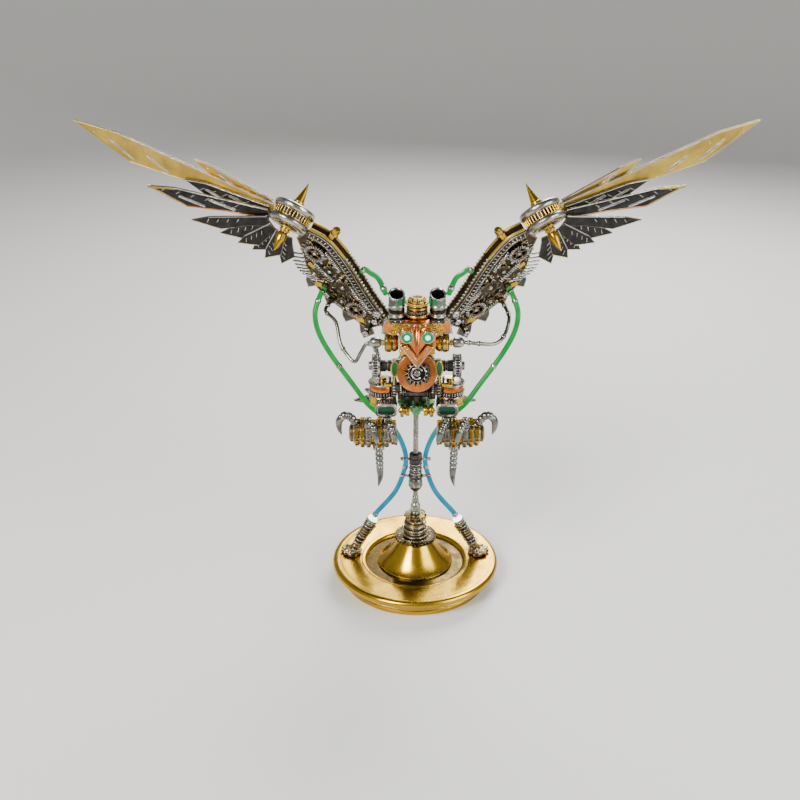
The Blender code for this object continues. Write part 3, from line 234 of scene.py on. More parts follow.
def plate(work, outlines, low, high, place=Matrix()):
    """A flat plate between two heights. The first outline is its edge, and the others are holes."""
    tops = []
    bottoms = []
    for outline in outlines:
        lower = [work.verts.new(place @ Vector((x, y, low))) for x, y in outline]
        upper = [work.verts.new(place @ Vector((x, y, high))) for x, y in outline]
        for i in range(len(outline)):
            j = (i + 1) % len(outline)
            work.faces.new((lower[i], lower[j], upper[j], upper[i]))
            bottoms.append(work.edges.get((lower[i], lower[j])))
            tops.append(work.edges.get((upper[i], upper[j])))
    for edges, ring in ((tops, upper), (bottoms, lower)):
        if len(outlines) == 1:
            bmesh.ops.triangulate(work, faces=[work.faces.new(ring)])
        else:
            bmesh.ops.triangle_fill(work, use_beauty=True, use_dissolve=False, edges=edges)


def round_edge(radius, points=24, at=(0, 0)):
    """A round outline, for a disc or a bore."""
    return [(at[0] + radius * cos(2 * pi * i / points), at[1] + radius * sin(2 * pi * i / points))
            for i in range(points)]


def band(work, radius, middle, across, tall, place=Matrix(), steps=64):
    """A rounded ring round a turned piece."""
    turned(work, [(radius + across * x, middle + tall * y) for x, y in round_edge(1, 10)], place, steps, closed=True)


def around(count, radius, height=0, shift=0):
    """Evenly spaced spots on a circle, each with its angle."""
    for step in range(count):
        turn = 2 * pi * (step + shift) / count
        yield turn, Vector((radius * cos(turn), radius * sin(turn), height))


def cog_edge(radius, depth, teeth, at=(0, 0), top=0.22, foot=0.5):
    """A toothed wheel's edge, with flat-topped teeth."""
    outline = []
    pitch = 2 * pi / teeth
    for tooth in range(teeth):
        middle = tooth * pitch
        for share, reach in ((-foot / 2, radius - depth), (-top / 2, radius), (top / 2, radius),
                             (foot / 2, radius - depth)):
            angle = middle + share * pitch
            outline.append((at[0] + reach * cos(angle), at[1] + reach * sin(angle)))
    return outline


def moved(at):
    """A place moved from the origin, and not turned."""
    return Matrix.Translation(Vector(at))


def aimed(at, axis=(0, 0, 1), turn=0):
    """A place with its own +Z along the axis given, and a turn about it."""
    aim = Vector(axis).to_track_quat("Z", "Y").to_matrix().to_4x4()
    return moved(at) @ aim @ Matrix.Rotation(turn, 4, "Z")


def bolt(work, at, axis, radius, height, turn=0.3):
    """A hexagonal bolt head on a washer."""
    place = aimed(at, axis, turn)
    turned(work, [(0, 0), (radius * 1.3, 0), (radius * 1.3, height * 0.25), (0, height * 0.25)], place, 16)
    turned(work, [(0, 0), (radius, 0), (radius, height * 0.86), (radius * 0.8, height), (0, height)], place, 6)


plate(work, [cog_edge(13, 1.1, 36)], 27.3, 29.1)
plate(work, [cog_edge(10.6, 0.7, 30), round_edge(7.9, 48)], 29.05, 29.5)
fitted("base_wheel", work, DARK_BRONZE, ("base_gear",))
for turn, spot in around(9, 9.6, 29.1, 0.5):
    bolt(work, spot, (0, 0, 1), 0.5, 0.6, turn)
fitted("base_wheel_bolts", work, POLISHED_BRASS)
turned(work, [(0, 29.4), (7.3, 29.4), (7.5, 29.7), (7.5, 30.5), (7.2, 30.8), (5.9, 31.2), (5.8, 31.9), (6.9, 32.5),
              (7.3, 33), (7.3, 34.2), (6.9, 34.7), (5.6, 35.2), (5.3, 36), (5.6, 36.7), (6.7, 37.1), (6.9, 37.5),
              (6.9, 38.3), (6.4, 38.8), (5.1, 39.1), (4.9, 39.5), (4.9, 41), (4.6, 41.4), (0, 41.4)], steps=48)
fitted("foot_stack_turned", work, AGED_BRONZE, ("pole_foot_stack",))
plate(work, [cog_edge(7.45, 0.5, 30), round_edge(5.6, 30)], 33.2, 34.1)
plate(work, [cog_edge(5.2, 0.45, 20), round_edge(3.6, 20)], 39.9, 40.7)
fitted("foot_stack_knurls", work, GUNMETAL)
for radius, level in ((7.55, 30), (7.35, 34.4), (6.9, 37.4), (5, 39.4), (5.9, 31.4), (5.4, 36)):
    band(work, radius, level, 0.22, 0.28, steps=48)
fitted("foot_stack_rings", work, SILVER_STEEL)
plate(work, [cog_edge(7, 1.1, 12)], 41.7, 43.7)
turned(work, [(0, 43.7), (4.4, 43.7), (4.2, 43.95), (0, 43.95)], steps=32)
fitted("pole_wheel", work, AGED_BRONZE, ("pole_gear",))

# ---- the pole
# Slim steel turnings, one above another: a forked foot with a swelling at its top, a dark collar with two
# crossbars that the light tubes pass behind, and a thin rod up to the belly.
SMOKED_STEEL = metal("smoked_steel_finish", "silver_steel", (0.27, 0.27, 0.22), (0.09, 0.1, 0.075),
                     (0.86, 0.86, 0.74), 0.14, 0.36)


def bar(work, start, end, radius, sides=12, end_radius=None):
    """A straight bar between two points, which may taper."""
    start = Vector(start)
    along = Vector(end) - start
    last = radius if end_radius is None else end_radius
    turned(work, [(0, 0), (radius, 0), (last, along.length), (0, along.length)], aimed(start, along), sides)


def bead(work, at, radius, fineness=2):
    """A round bead."""
    bmesh.ops.create_icosphere(work, subdivisions=fineness, radius=radius, matrix=moved(at))


turned(work, [(0, 44), (2.7, 44), (2.95, 44.3), (2.95, 45.4), (2.4, 45.7), (2.4, 46.5), (2.95, 46.9), (2.95, 50.4),
              (2.6, 51), (1.9, 51.6), (1.5, 52.4), (1.5, 55.2), (1.75, 55.5), (1.75, 56.3), (1.5, 56.6),
              (1.5, 60.2), (2.3, 60.8), (3.2, 61.8), (3.9, 62.9), (4.3, 64), (4.3, 64.9), (3.9, 65.2), (3.9, 65.8),
              (4.3, 66.1), (4.3, 67), (3.9, 68.2), (3.4, 69.1), (0, 69.1)], steps=40)
for side in (-1, 1):
    bar(work, (side * 2.1, -1.6, 46.8), (side * 1.2, -1.2, 56.6), 0.65, 8)
fitted("lower_pole_turned", work, SMOKED_STEEL, ("pole_lower",))
turned(work, [(0, 69.4), (4.3, 69.4), (4.42, 69.7), (4.42, 71.2), (4, 71.7), (3.75, 72), (3.75, 74.2), (3.4, 74.4),
              (3.4, 74.9), (3.75, 75.1), (3.75, 77), (3.4, 77.2), (3.4, 77.7), (3.75, 77.9), (3.75, 80.6),
              (4, 81), (4, 83), (3.75, 83.4), (3.75, 84), (4, 84.2), (4, 85.4), (3.7, 85.7),
              (0, 85.7)], steps=40)
fitted("collar_turned", work, GUNMETAL, ("pole_collar",))
for level in (70.54, 82.11):
    bar(work, (-8.3, 0, level), (8.3, 0, level), 0.7, 12)
    for side in (-1, 1):
        bead(work, (side * 8.3, 0, level), 1.2, 3)
        band(work, 0.9, 0, 0.35, 0.3, aimed((side * 5.2, 0, level), (1, 0, 0)), 16)
for level in (73, 76, 79.2):
    band(work, 3.75, level, 0.32, 0.3, steps=32)
fitted("collar_crossbars", work, SILVER_STEEL)
profile = [(0, 86), (1.6, 86)]
for ring in range(24):
    level = 86.6 + ring * 1.04
    profile += [(1.6, level), (1.5, level + 0.08), (1.5, level + 0.2), (1.6, level + 0.3)]
turned(work, profile + [(1.6, 112), (0, 112)], steps=24)
fitted("rod_grooved", work, SMOKED_STEEL, ("pole_rod",))

# ---- the lamps
# Each lamp is a dark barrel with gilt bands that leans on a toothed foot, with a brass brace along it. A frosted
# bulb glows at its mouth inside a green glass ring.


def glowing(name, slot, low, high, strength, bottom, top):
    """Lit glass and its slot. Its colour may run from low to high between two heights, a little clouded."""
    material, tree, shader = shaded(name)
    for socket, value in (("Base Color", (0, 0.04, 0.015, 1)), ("Roughness", 0.3), ("Specular IOR Level", 0.15),
                          ("Coat Weight", 0.08), ("Coat Roughness", 0.12), ("Emission Strength", strength)):
        shader.inputs[socket].default_value = value
    place = add(tree, "TexCoord")
    split = add(tree, "SeparateXYZ")
    rise = add(tree, "MapRange", {"From Min": bottom * MM, "From Max": top * MM})
    run = add(tree, "Mix", {6: (*low, 1), 7: (*high, 1)}, data_type="RGBA")
    flow = add(tree, "TexNoise", {"Scale": 140, "Detail": 2})
    deep = add(tree, "MapRange", {"From Min": 0.3, "From Max": 0.7, "To Min": 0.7})
    core = add(tree, "VectorMath", operation="SCALE")
    wire(tree, (place, "Object", split, 0), (split, "Z", rise, "Value"), (rise, "Result", run, 0),
         (place, "Object", flow, "Vector"), (flow, "Fac", deep, "Value"), (run, 2, core, 0),
         (deep, "Result", core, "Scale"), (core, "Vector", shader, "Emission Color"))
    return material, slot


def smooth_route(points, spacing):
    """Points at an even spacing on one smooth curve through the points given."""
    points = [Vector(p) for p in points]
    ends = [2 * points[0] - points[1]] + points + [2 * points[-1] - points[-2]]
    dense = []
    for a, b, c, d in zip(ends, ends[1:], ends[2:], ends[3:]):
        for step in range(16):
            t = step / 16
            dense.append(0.5 * (2 * b + (c - a) * t + (2 * a - 5 * b + 4 * c - d) * t ** 2
                                + (3 * b - a - 3 * c + d) * t ** 3))
    dense.append(points[-1])
    travelled = [0]
    for a, b in zip(dense, dense[1:]):
        travelled.append(travelled[-1] + (b - a).length)
    count = max(2, round(travelled[-1] / spacing))
    route = []
    here = 0
    for step in range(count + 1):
        target = travelled[-1] * step / count
        while here < len(dense) - 2 and travelled[here + 1] < target:
            here += 1
        share = (target - travelled[here]) / (travelled[here + 1] - travelled[here])
        route.append(dense[here].lerp(dense[here + 1], share))
    return route


def swept(work, route, radius, sides=12, shares=None):
    """A round tube along a route. The shares change its radius on the way."""
    last = len(route) - 1
    ahead = (route[1] - route[0]).normalized()
    across = ahead.orthogonal().normalized()
    rings = []
    for index, spot in enumerate(route):
        forward = (route[min(index + 1, last)] - route[max(index - 1, 0)]).normalized()
        across = (across - forward * across.dot(forward)).normalized()
        beside = forward.cross(across)
        r = radius * (shares[index] if shares else 1)
        rings.append([work.verts.new(spot + (across * cos(2 * pi * i / sides)
                                             + beside * sin(2 * pi * i / sides)) * r)
                      for i in range(sides)])
    for low, high in zip(rings, rings[1:]):
        for i in range(sides):
            j = (i + 1) % sides
            work.faces.new((low[i], low[j], high[j], high[i]))
    work.faces.new(rings[0])
    work.faces.new(list(reversed(rings[-1])))


def pins(work, place, count, radius, low, tall, thick):
    """A ring of upright pins."""
    for _, spot in around(count, radius, low):
        bar(work, place @ spot, place @ (spot + Vector((0, 0, tall))), thick, 6)


WHITE_GLOW = glowing("white_glow_glass", "white_glow", (0.7, 1, 0.88), (1, 1, 1), 5.5, 34, 38)
GREEN_RING = glowing("green_ring_glass", "green_glow", (0, 0.16, 0.03), (0, 0.3, 0.07), 1, 30, 44)
LAMP_DISTANCE = 40.8
LAMP_BEARING = radians(7)
LAMP_LEAN = radians(30)
BULB_START = 26.3
BULB_LENGTH = 3
SEAT_GAP = 0.45
RING_SLOPE = atan2(1.2, 13.5)
RING_HEIGHT = 12 + 8.3 * tan(RING_SLOPE)
outward = Vector((cos(LAMP_BEARING), sin(LAMP_BEARING), 0))
lamp_up = (Vector((0, 0, 1)) * cos(RING_SLOPE) - outward * sin(RING_SLOPE)).normalized()
lamp_foot = outward * LAMP_DISTANCE + Vector((0, 0, RING_HEIGHT)) + lamp_up * SEAT_GAP
lean = Vector((-sin(LAMP_LEAN), 0, cos(LAMP_LEAN)))
leaned = aimed(lamp_foot, lean)
turned(work, [(0, 8.6), (2.3, 8.6), (2.5, 9.2), (3.2, 13.4), (3.3, 13.8), (3, 14), (3, 22.9), (3.3, 23.4),
              (3.3, 26), (2.6, 26), (2.5, 25.2), (0, 25.2)], leaned, 32)
fitted("lamp_barrel", work, GUNMETAL, ("lamp_holder",), pair=True)
plate(work, [cog_edge(6.7, 1.1, 10)], 0.1, 1.6, aimed(lamp_foot, lamp_up))
turned(work, [(0, 1.5), (4.4, 1.5), (4.2, 2.2), (3, 2.5), (0, 2.5)], aimed(lamp_foot, lamp_up), 32)
turned(work, [(0, 1.5), (2.5, 1.5), (2.4, 5.4), (1.9, 5.8), (1.9, 7.4), (2.5, 7.8), (2.5, 8.8), (0, 8.8)], leaned, 24)
for level, radius in ((13.6, 3.25), (15.6, 3.05), (17.4, 3.05), (19.2, 3.05), (23.6, 3.3), (25.6, 3.3)):
    band(work, radius, level, 0.28, 0.36, leaned, 28)
side = Vector((-lean.z, 0, lean.x))
bar(work, lamp_foot + lamp_up * 0.8 + lean * 2 + side * 2.2, lamp_foot + lean * 24 + side * 3.7, 0.8, 10)
for share in (6, 12, 18, 23.4):
    bead(work, lamp_foot + lean * share + side * (2.3 + share * 0.06), 1, 2)
fitted("lamp_bands", work, AGED_BRONZE, pair=True)
for step, (turn, spot) in enumerate(around(7, 4.6, 1.4)):
    bolt(work, lamp_foot + spot, lamp_up, 0.8, 1.4 + 0.8 * (step % 3), turn)
for shift in (-1.7, 1.7):
    swept(work, [lamp_foot + lean * along + side * (2.9 if along < 20 else 2) + Vector((0, shift, 0))
                 for along in range(3, 23, 2)], 0.42, 8)
for along in (8.4, 11, 22, 24.6):
    band(work, 3.35, along, 0.3, 0.34, leaned, 28)
fitted("lamp_fittings", work, SILVER_STEEL, pair=True)
bulb_at = aimed(lamp_foot + lean * BULB_START, lean)
turned(work, [(0, 0.1), (2.7, 0.1), (3.1, 0.9), (3.15, 1.7), (2.8, 2.4), (2, 2.85), (0, BULB_LENGTH)],
       bulb_at, 32)
fitted("lamp_bulb_glass", work, WHITE_GLOW, ("lamp_bulb",), pair=True)
band(work, 2.95, 0.5, 0.42, 0.45, bulb_at, 32)
fitted("lamp_bulb_ring", work, GREEN_RING, pair=True)

# ---- the belly wheel and the body
# Under the body a toothed wheel sits on the pole, with thin struts from its hub. The body is a dark riveted
# barrel that leans forward, with beams for the shoulders, wheels and hips, and straps round its middle.
DATUM = Vector((0, 0, 112))


def body(x, y, z):
    """A point of the body, measured from its datum at the head of the rod."""
    return DATUM + Vector((x, y, z))


def box(work, low, high, top_share=1, place=Matrix(), round_off=0.6):
    """A block between two corners with its edges eased, whose top may be narrower than its bottom."""
    low = Vector(low)
    high = Vector(high)
    fresh = bmesh.ops.create_cube(work, size=1)["verts"]
    for vert in fresh:
        share = top_share if vert.co.z > 0 else 1
        vert.co = (low + high) / 2 + Vector((vert.co.x * share * (high.x - low.x), vert.co.y * (high.y - low.y),
                                          vert.co.z * (high.z - low.z)))
        vert.co = place @ vert.co
    edges = list(dict.fromkeys(edge for vert in fresh for edge in vert.link_edges))
    bmesh.ops.bevel(work, geom=edges, offset=round_off, segments=3, profile=0.5, affect="EDGES")


# The belly wheel's bronze is tinted green all over as painted light: the green glow of the tubes falling on it.
GREEN_GLOW_LIT_BRONZE = metal("green_glow_lit_bronze_finish", "aged_bronze", (0.16, 0.42, 0.16), (0.02, 0.22, 0.09),
                       (0.66, 0.96, 0.56), 0.2, 0.5)
belly = body(0, -5, 10.4)
plate(work, [cog_edge(11, 1.5, 22), round_edge(2.6, 24)], -0.9, 0.9, moved(belly))
band(work, 8.4, -1, 0.5, 0.3, moved(belly), 40)
turned(work, [(0, 0.3), (2.4, 0.3), (2.4, 2.2), (1.8, 2.8), (1.8, 7.4), (2.4, 8.4), (2.4, 10.2), (0, 10.2)],
       moved(DATUM), 24)
for x, y in ((-8.25, -5), (8.25, -5), (0, -13.8), (5.4, -11.6), (-5.4, -11.6)):
    bar(work, body(0, 0, 2.4), body(x, y, 9.9), 0.55, 10)
    bead(work, body(x, y, 9.6), 0.9)
for _, spot in around(11, 9.6, -1):
    bolt(work, belly + spot, (0, 0, -1), 0.7, 1.1)
for level, radius in ((3.2, 3.6), (5.4, 5.2), (7.4, 6.6)):
    band(work, radius, level, 0.35, 0.3, moved(body(0, -0.7 * (level - 2), 0)), 32)
fitted("belly_wheel", work, GREEN_GLOW_LIT_BRONZE, ("belly_gear",))

chest_tilt = radians(12)
chest_way = Vector((0, -cos(chest_tilt), sin(chest_tilt)))
chest_at = body(0, -21.2, 36)
rump = body(0, 28, 18)
spine = body(0, -19, 38) - rump
n = spine.length
barrel = aimed(rump, spine)
turned(work, [(0, 0), (5.6, 0), (6.4, 0.6), (7.4, 0.09 * n), (9, 0.17 * n), (10.2, 0.23 * n), (11.2, 0.34 * n),
              (11.8, 0.44 * n), (12, 0.5 * n), (11.8, 0.58 * n), (10.9, 0.69 * n), (10.8, 0.8 * n),
              (10.6, 0.9 * n), (10.2, 0.94 * n), (9, 0.98 * n), (8.2, n), (0, n)], barrel, 56)
bar(work, body(0, -5, 11.6), body(0, -5, 30), 6, 32)
turned(work, [(0, -10.9), (4.5, -10.9), (4.5, -7.4), (3.1, -6.4), (3.1, 6.4), (4.5, 7.4), (4.5, 10.9), (0, 10.9)],
       aimed(body(0, -10, 19), (1, 0, 0)), 32)
bar(work, body(-13.9, -10, 35.2), body(13.9, -10, 35.2), 4.2, 28)
bar(work, body(-12.6, 18.5, 49.6), body(12.6, 18.5, 49.6), 5, 32)
box(work, body(-7, 10.5, 24), body(7, 21.5, 49.6), 1.2, round_off=1.2)
bar(work, body(0, -13.2, 36), body(0, -13.2, 48), 5.5, 28)
bar(work, chest_at - chest_way * 5, chest_at, 5, 28)
bar(work, body(0, 33, 7.7), body(0, 24, 20), 4, 24, 5)
bar(work, body(0, 33, 5.3), body(0, 33, 9.3), 4.6, 24)
fitted("body_barrel", work, GUNMETAL, ("torso",))
for share, radius in ((0.1, 7.6), (0.3, 11), (0.52, 12), (0.74, 10.9), (0.92, 10.5)):
    turned(work, [(radius - 0.8, share * n - 1.1), (radius + 0.12, share * n - 1.1), (radius + 0.22, share * n),
                  (radius + 0.12, share * n + 1.1), (radius - 0.8, share * n + 1.1)], barrel, 56, closed=True)
band(work, 5.3, 42, 0.4, 0.5, moved(body(0, -13.2, 0)), 32)
band(work, 5.3, 45, 0.4, 0.5, moved(body(0, -13.2, 0)), 32)
for x in (-11.6, -8.8, 8.8, 11.6):
    band(work, 4.9, x, 0.35, 0.5, aimed(body(0, 18.5, 49.6), (1, 0, 0)), 32)
for x in (-9.6, 9.6):
    band(work, 4.4, x, 0.35, 0.6, aimed(body(0, -10, 19), (1, 0, 0)), 28)
fitted("body_straps", work, AGED_BRONZE)
for share, radius in ((0.1, 7.6), (0.3, 11), (0.52, 12), (0.74, 10.9)):
    for _, spot in around(16, radius + 0.15, share * n):
        bead(work, barrel @ spot, 0.5, 1)
for x in (-4.6, 4.6):
    for level in (27, 33, 39, 45):
        bolt(work, body(x * (0.96 + 0.006 * (level - 27)), 21.4, level), (0, 1, 0), 0.9, 0.8)
fitted("body_rivets", work, SILVER_STEEL)

# ---- the breast
# A copper disc with a turned rim on the breast carries a dark spiky wheel with a steel hub. Both are held by the
# hub's nut.
COPPER = metal("copper_finish", "copper", (0.72, 0.235, 0.055), (0.33, 0.095, 0.025),
               (1, 0.66, 0.34), 0.15, 0.38, cloud=110)
breast = aimed(chest_at + chest_way * 0.3, chest_way)
turned(work, [(0, 0), (11.4, 0), (11.4, 1.2), (11.2, 1.6), (10.8, 1.75), (0, 1.75)], breast, 72)
fitted("breast_disc", work, COPPER, ("chest_disc",))
BLACK_STEEL = metal("black_steel_finish", "gunmetal", (0.03, 0.028, 0.027), (0.012, 0.011, 0.01),
                    (0.55, 0.48, 0.36), 0.24, 0.5)
spur = aimed(chest_at + chest_way * 2.6, chest_way)
plate(work, [cog_edge(7.8, 2.1, 15, top=0.08, foot=0.62)], 0, 1.7, spur)
turned(work, [(0, 1.6), (4.9, 1.6), (4.7, 2), (0, 2)], spur, 32)
fitted("breast_spur_wheel", work, BLACK_STEEL, ("chest_gear",))
turned(work, [(0, 1.9), (1.9, 1.9), (1.8, 2.4), (1.3, 2.8), (0, 2.8)], spur, 28)
ring = [spur @ Vector((3.1 * cos(0.5 + 4.9 * i / 20), 3.1 * sin(0.5 + 4.9 * i / 20), 2.2)) for i in range(21)]
swept(work, ring, 0.55, 10)
for _, spot in around(15, 5.3, 1.7, 0.5):
    bead(work, spur @ spot, 0.3, 1)
fitted("breast_hub", work, SILVER_STEEL)

# ---- the hips
# On each side a brass drum with a dark toothed band hangs from the hip beam, with a spoked steel wheel on its
# post. A rounded steel frame and a ringed knob stand in front of it.
drum = moved(body(19.5, -10, 12))
turned(work, [(0, 0), (7.6, 0), (8, 0.3), (8.1, 0.8), (8.1, 1.4), (7.8, 1.7), (7.8, 4.7), (8.1, 5), (8.1, 5.6),
              (7.9, 5.9), (0, 5.9)], drum, 56)
turned(work, [(0, 13.8), (2.6, 13.8), (2.4, 14.4), (2, 14.6), (2, 16), (0, 16)], drum, 32)
fitted("hip_drum_turned", work, POLISHED_BRASS, ("hip_drum",), pair=True)
turned(work, [(0, 5.8), (7.3, 5.8), (7.3, 9.4), (0, 9.4)], drum, 48)
fitted("hip_drum_band", work, GUNMETAL, pair=True)
turned(work, [(0, 9.2), (7.5, 9.2), (7.7, 9.5), (7.6, 12.4), (7.2, 13), (0, 13)], drum, 56)
fitted("hip_drum_wall", work, COPPER, pair=True)
turned(work, [(0, 12.9), (8.1, 12.9), (8.35, 13.2), (8.35, 13.6), (8.1, 13.9), (0, 13.9)], drum, 56)
band(work, 7.9, 6.2, 0.3, 0.25, drum, 56)
pins(work, drum, 30, 7.75, 6.9, 2.1, 0.42)
fitted("hip_drum_teeth", work, SILVER_STEEL, pair=True)

axle = aimed(body(14.2, -10, 35.2), (1, 0, 0))
turned(work, [(0, 6.2), (5.9, 6.2), (6.6, 6.4), (6.9, 6.8), (6.9, 7.7), (6.5, 8.1), (0, 8.1)], axle, 56)
turned(work, [(0, 10.1), (6.4, 10.1), (6.9, 10.4), (6.9, 10.9), (6.5, 11.3), (2.6, 11.4), (2.4, 13), (2, 13.3),
              (0, 13.3)], axle, 56)
pins(work, axle, 24, 6.2, 8, 2.2, 0.4)
fitted("side_wheel_turned", work, SILVER_STEEL, ("side_wheel",), pair=True)
turned(work, [(0, 0), (3.4, 0), (3.4, 2.2), (2.9, 2.4), (2.9, 3.2), (3.4, 3.4), (3.4, 6.3), (0, 6.3)], axle, 32)
turned(work, [(0, 8), (5.9, 8), (5.9, 10.2), (0, 10.2)], axle, 48)
for x, y, low, high, radius in ((9.2, -19.5, 23, 33, 0.8), (12.6, -17.5, 19, 34, 1), (15.2, -16.4, 25, 31, 0.7)):
    bar(work, body(x, y, low), body(x, y, high), radius, 12)
box(work, body(8.2, -17.5, 22), body(14.5, -12.5, 26.5), round_off=0.6)
fitted("side_wheel_band", work, GUNMETAL, pair=True)
for level in range(8):
    bead(work, body(9, -20.6, 23.2 + 1.35 * level), 0.62, 2)
    band(work, 1.05, 20.2 + 1.7 * level, 0.32, 0.3, moved(body(12.6, -17.5, 0)), 16)
fitted("hip_bead_columns", work, SILVER_STEEL, pair=True)
hoop_at = body(12.4, -19.4, 37.2)
hoop = [hoop_at + Vector((2 * cos(2 * pi * i / 28), 0, 4.6 * sin(2 * pi * i / 28)))
        for i in range(29)]
swept(work, hoop, 0.55, 10)
bar(work, hoop_at + Vector((0, 0, -4.6)), body(13.2, -18.6, 27.2), 0.6, 10)
bar(work, hoop_at + Vector((0, 0.6, 0)), body(12.9, -13, 36.2), 0.6, 10)
box(work, body(14.2, -20, 26), body(18.4, -17.6, 28.2), round_off=0.5)
fitted("hip_hoop", work, POLISHED_BRASS, pair=True)
HOOP_GLASS = glowing("hoop_glass", "green_glow", (0, 0.1, 0.03), (0, 0.22, 0.07), 0.8, 146, 156)
turned(work, [(0, -0.2), (1, -0.2), (1, 0.2), (0, 0.2)],
       aimed(hoop_at, (0, -1, 0)) @ Matrix.Diagonal((1.7, 4.3, 1, 1)), 28)
fitted("hip_hoop_glass", work, HOOP_GLASS, pair=True)


def rounded_edge(width, height, corner, points=6):
    """A rectangle's outline with round corners."""
    outline = []
    for index, (sx, sy) in enumerate(((1, 1), (-1, 1), (-1, -1), (1, -1))):
        for step in range(points + 1):
            turn = pi / 2 * (index + step / points)
            outline.append((sx * (width / 2 - corner) + corner * cos(turn),
                            sy * (height / 2 - corner) + corner * sin(turn)))
    return outline


frame_at = aimed(body(17.3, -22, 14), (0, -1, 0))
for low, high, grow in ((-3.7, 3.3, 0), (3.2, 3.7, -0.35), (-2.6, -2, 0)):
    plate(work, [rounded_edge(12.5 + 2 * grow, 8 + 2 * grow, 2.6), rounded_edge(9.5, 5, 1.6)], low, high, frame_at)
fitted("leg_frame_ring", work, SILVER_STEEL, ("leg_frame",), pair=True)
FRAME_GLASS = glowing("frame_glass", "green_glow", (0.02, 0.1, 0.05), (0.1, 0.24, 0.15), 0.6, 121, 131)
plate(work, [rounded_edge(9.6, 5.1, 1.6)], -1.4, -0.9, frame_at)
fitted("leg_frame_glass", work, FRAME_GLASS, pair=True)
knob_at = aimed(body(4, -22, 12.5), (1, 0, 0))
turned(work, [(0, 0), (2.9, 0), (3.04, 0.3), (3.04, 2), (2.7, 2.3), (1.9, 2.9), (2.6, 3.2), (3.7, 3.5), (3.8, 4),
              (3.8, 4.8), (3.6, 5.3), (1.6, 5.5), (1.5, 5.9), (0, 6.7)], knob_at, 32)
fitted("hip_knob_turned", work, POLISHED_BRASS, ("hip_knob",), pair=True)

# ---- the feet
# Each foot is a drum of brass plates side by side on one axle. Three claws built up of steel segments curl over
# it, and a fourth hangs from a knuckle below.


def segmented(work, points, radius, segments):
    """A claw ringed by short segments over its first part, then smooth and thick, with a rounded point."""
    rough = smooth_route(points, 0.5)
    length = 0.5 * len(rough)
    route = smooth_route(points, length / (segments * 8))
    last = len(route) - 1
    shares = []
    for index in range(len(route)):
        t = index / last
        beat = (t * segments) % 1
        waist = 0.7 + 0.34 * sin(pi * beat) ** 0.6 if t < 0.56 else 1
        shares.append(waist * (1 - 0.86 * t ** 4.5))
    swept(work, route, radius, 12, shares)


CLAW_STEEL = metal("claw_steel_finish", "silver_steel", (0.25, 0.245, 0.215), (0.07, 0.066, 0.056),
                   (0.95, 0.94, 0.88), 0.1, 0.3, edge=0.0004)
palm = body(11.5, -26, 0.5)
across_palm = aimed(palm, (1, 0, 0))
profile = [(0, 0), (4.6, 0)]
for low, high, radius in ((0.2, 3.4, 6.4), (4, 7.2, 7.8), (7.8, 11.4, 8), (14.4, 17.4, 8), (18, 20.6, 7.8),
                          (21.2, 24, 7), (24.4, 26.6, 5.2)):
    profile += [(radius - 0.9, low), (radius, low + 0.3), (radius, high - 0.3), (radius - 0.9, high)]
    profile += [(radius - 1.8, high + 0.1), (radius - 1.8, high + 0.5)]
profile = [p for p in profile if p[1] <= 26.6] + [(3.8, 27), (0, 27)]
turned(work, profile, across_palm, 40)
fitted("foot_plates", work, AGED_BRONZE, ("talon",), pair=True)
gilt_slabs = bmesh.new()
steel_slabs = bmesh.new()
for index, (x, radius) in enumerate(((1.8, 6.4), (5.6, 7.8), (9.6, 8), (12.9, 6.6), (15.9, 8), (19.3, 7.8),
                                      (22.6, 7))):
    slabs = steel_slabs if index % 3 == 1 else gilt_slabs
    for step in range(7):
        turn = 2 * pi * (step + 0.15) / 7
        lie = across_palm @ Matrix.Rotation(turn, 4, "Z") @ moved((radius, 0, x))
        box(slabs, (-0.5, -0.36 * radius, -1.2), (0.35, 0.36 * radius, 1.2), place=lie, round_off=0.4)
for x, radius in ((3.7, 5.6), (7.5, 7), (17.7, 7), (21, 6.6), (24.2, 5.6), (26, 4.4)):
    band(steel_slabs, radius, x, 0.5, 0.3, across_palm, 32)
fitted("foot_gilt_slabs", gilt_slabs, POLISHED_BRASS, pair=True)
fitted("foot_steel_slabs", steel_slabs, SILVER_STEEL, pair=True)
box(work, body(14.3, -25.5, 4.7), body(20.3, -19, 9.7), round_off=0.8)
claw_spots = (((0.8, -0.2, 0.55), (0.93, -0.5, 1.35), (1.06, -0.75, 1.72), (1.19, -0.8, 1.3),
               (1.19, -0.75, 0.65), (1.15, -0.7, 0.2)),
              ((0.62, -0.5, 0.7), (0.58, -1.05, 1.25), (0.49, -1.45, 1.05), (0.42, -1.6, 0.35),
               (0.39, -1.5, -0.25)),
              ((0.18, -0.5, 0.7), (0.16, -1.05, 1.2), (0.1, -1.45, 1), (0.03, -1.6, 0.3),
               (0, -1.5, -0.25)),
              ((0.38, -0.1, -0.7), (0.37, -0.1, -1.7), (0.36, -0.15, -2.6), (0.35, -0.35, -3.4),
               (0.39, -0.75, -3.95)))
for spots in claw_spots:
    segmented(work, [palm + Vector((a * 27, b * 8, c * 8)) for a, b, c in spots], 2.35, 9)
knuckle = palm + Vector((0.38 * 27, 0, -9.2))
turned(work, [(0, -3.4), (1.4, -3.4), (1.9, -3), (1.9, -1.2), (1.5, -1), (1.5, 1), (1.9, 1.2), (1.9, 3),
              (1.4, 3.4), (0, 3.4)], aimed(knuckle, (1, 0, 0)), 24)
fitted("foot_claws", work, CLAW_STEEL, pair=True)
for x in (1.8, 5.6, 9.6, 15.9, 19.3, 22.6):
    for _, spot in around(10, 7.9 if 5 < x < 20 else 6.5, x):
        bead(work, across_palm @ spot, 0.4, 1)
fitted("foot_rivets", work, GUNMETAL, pair=True)

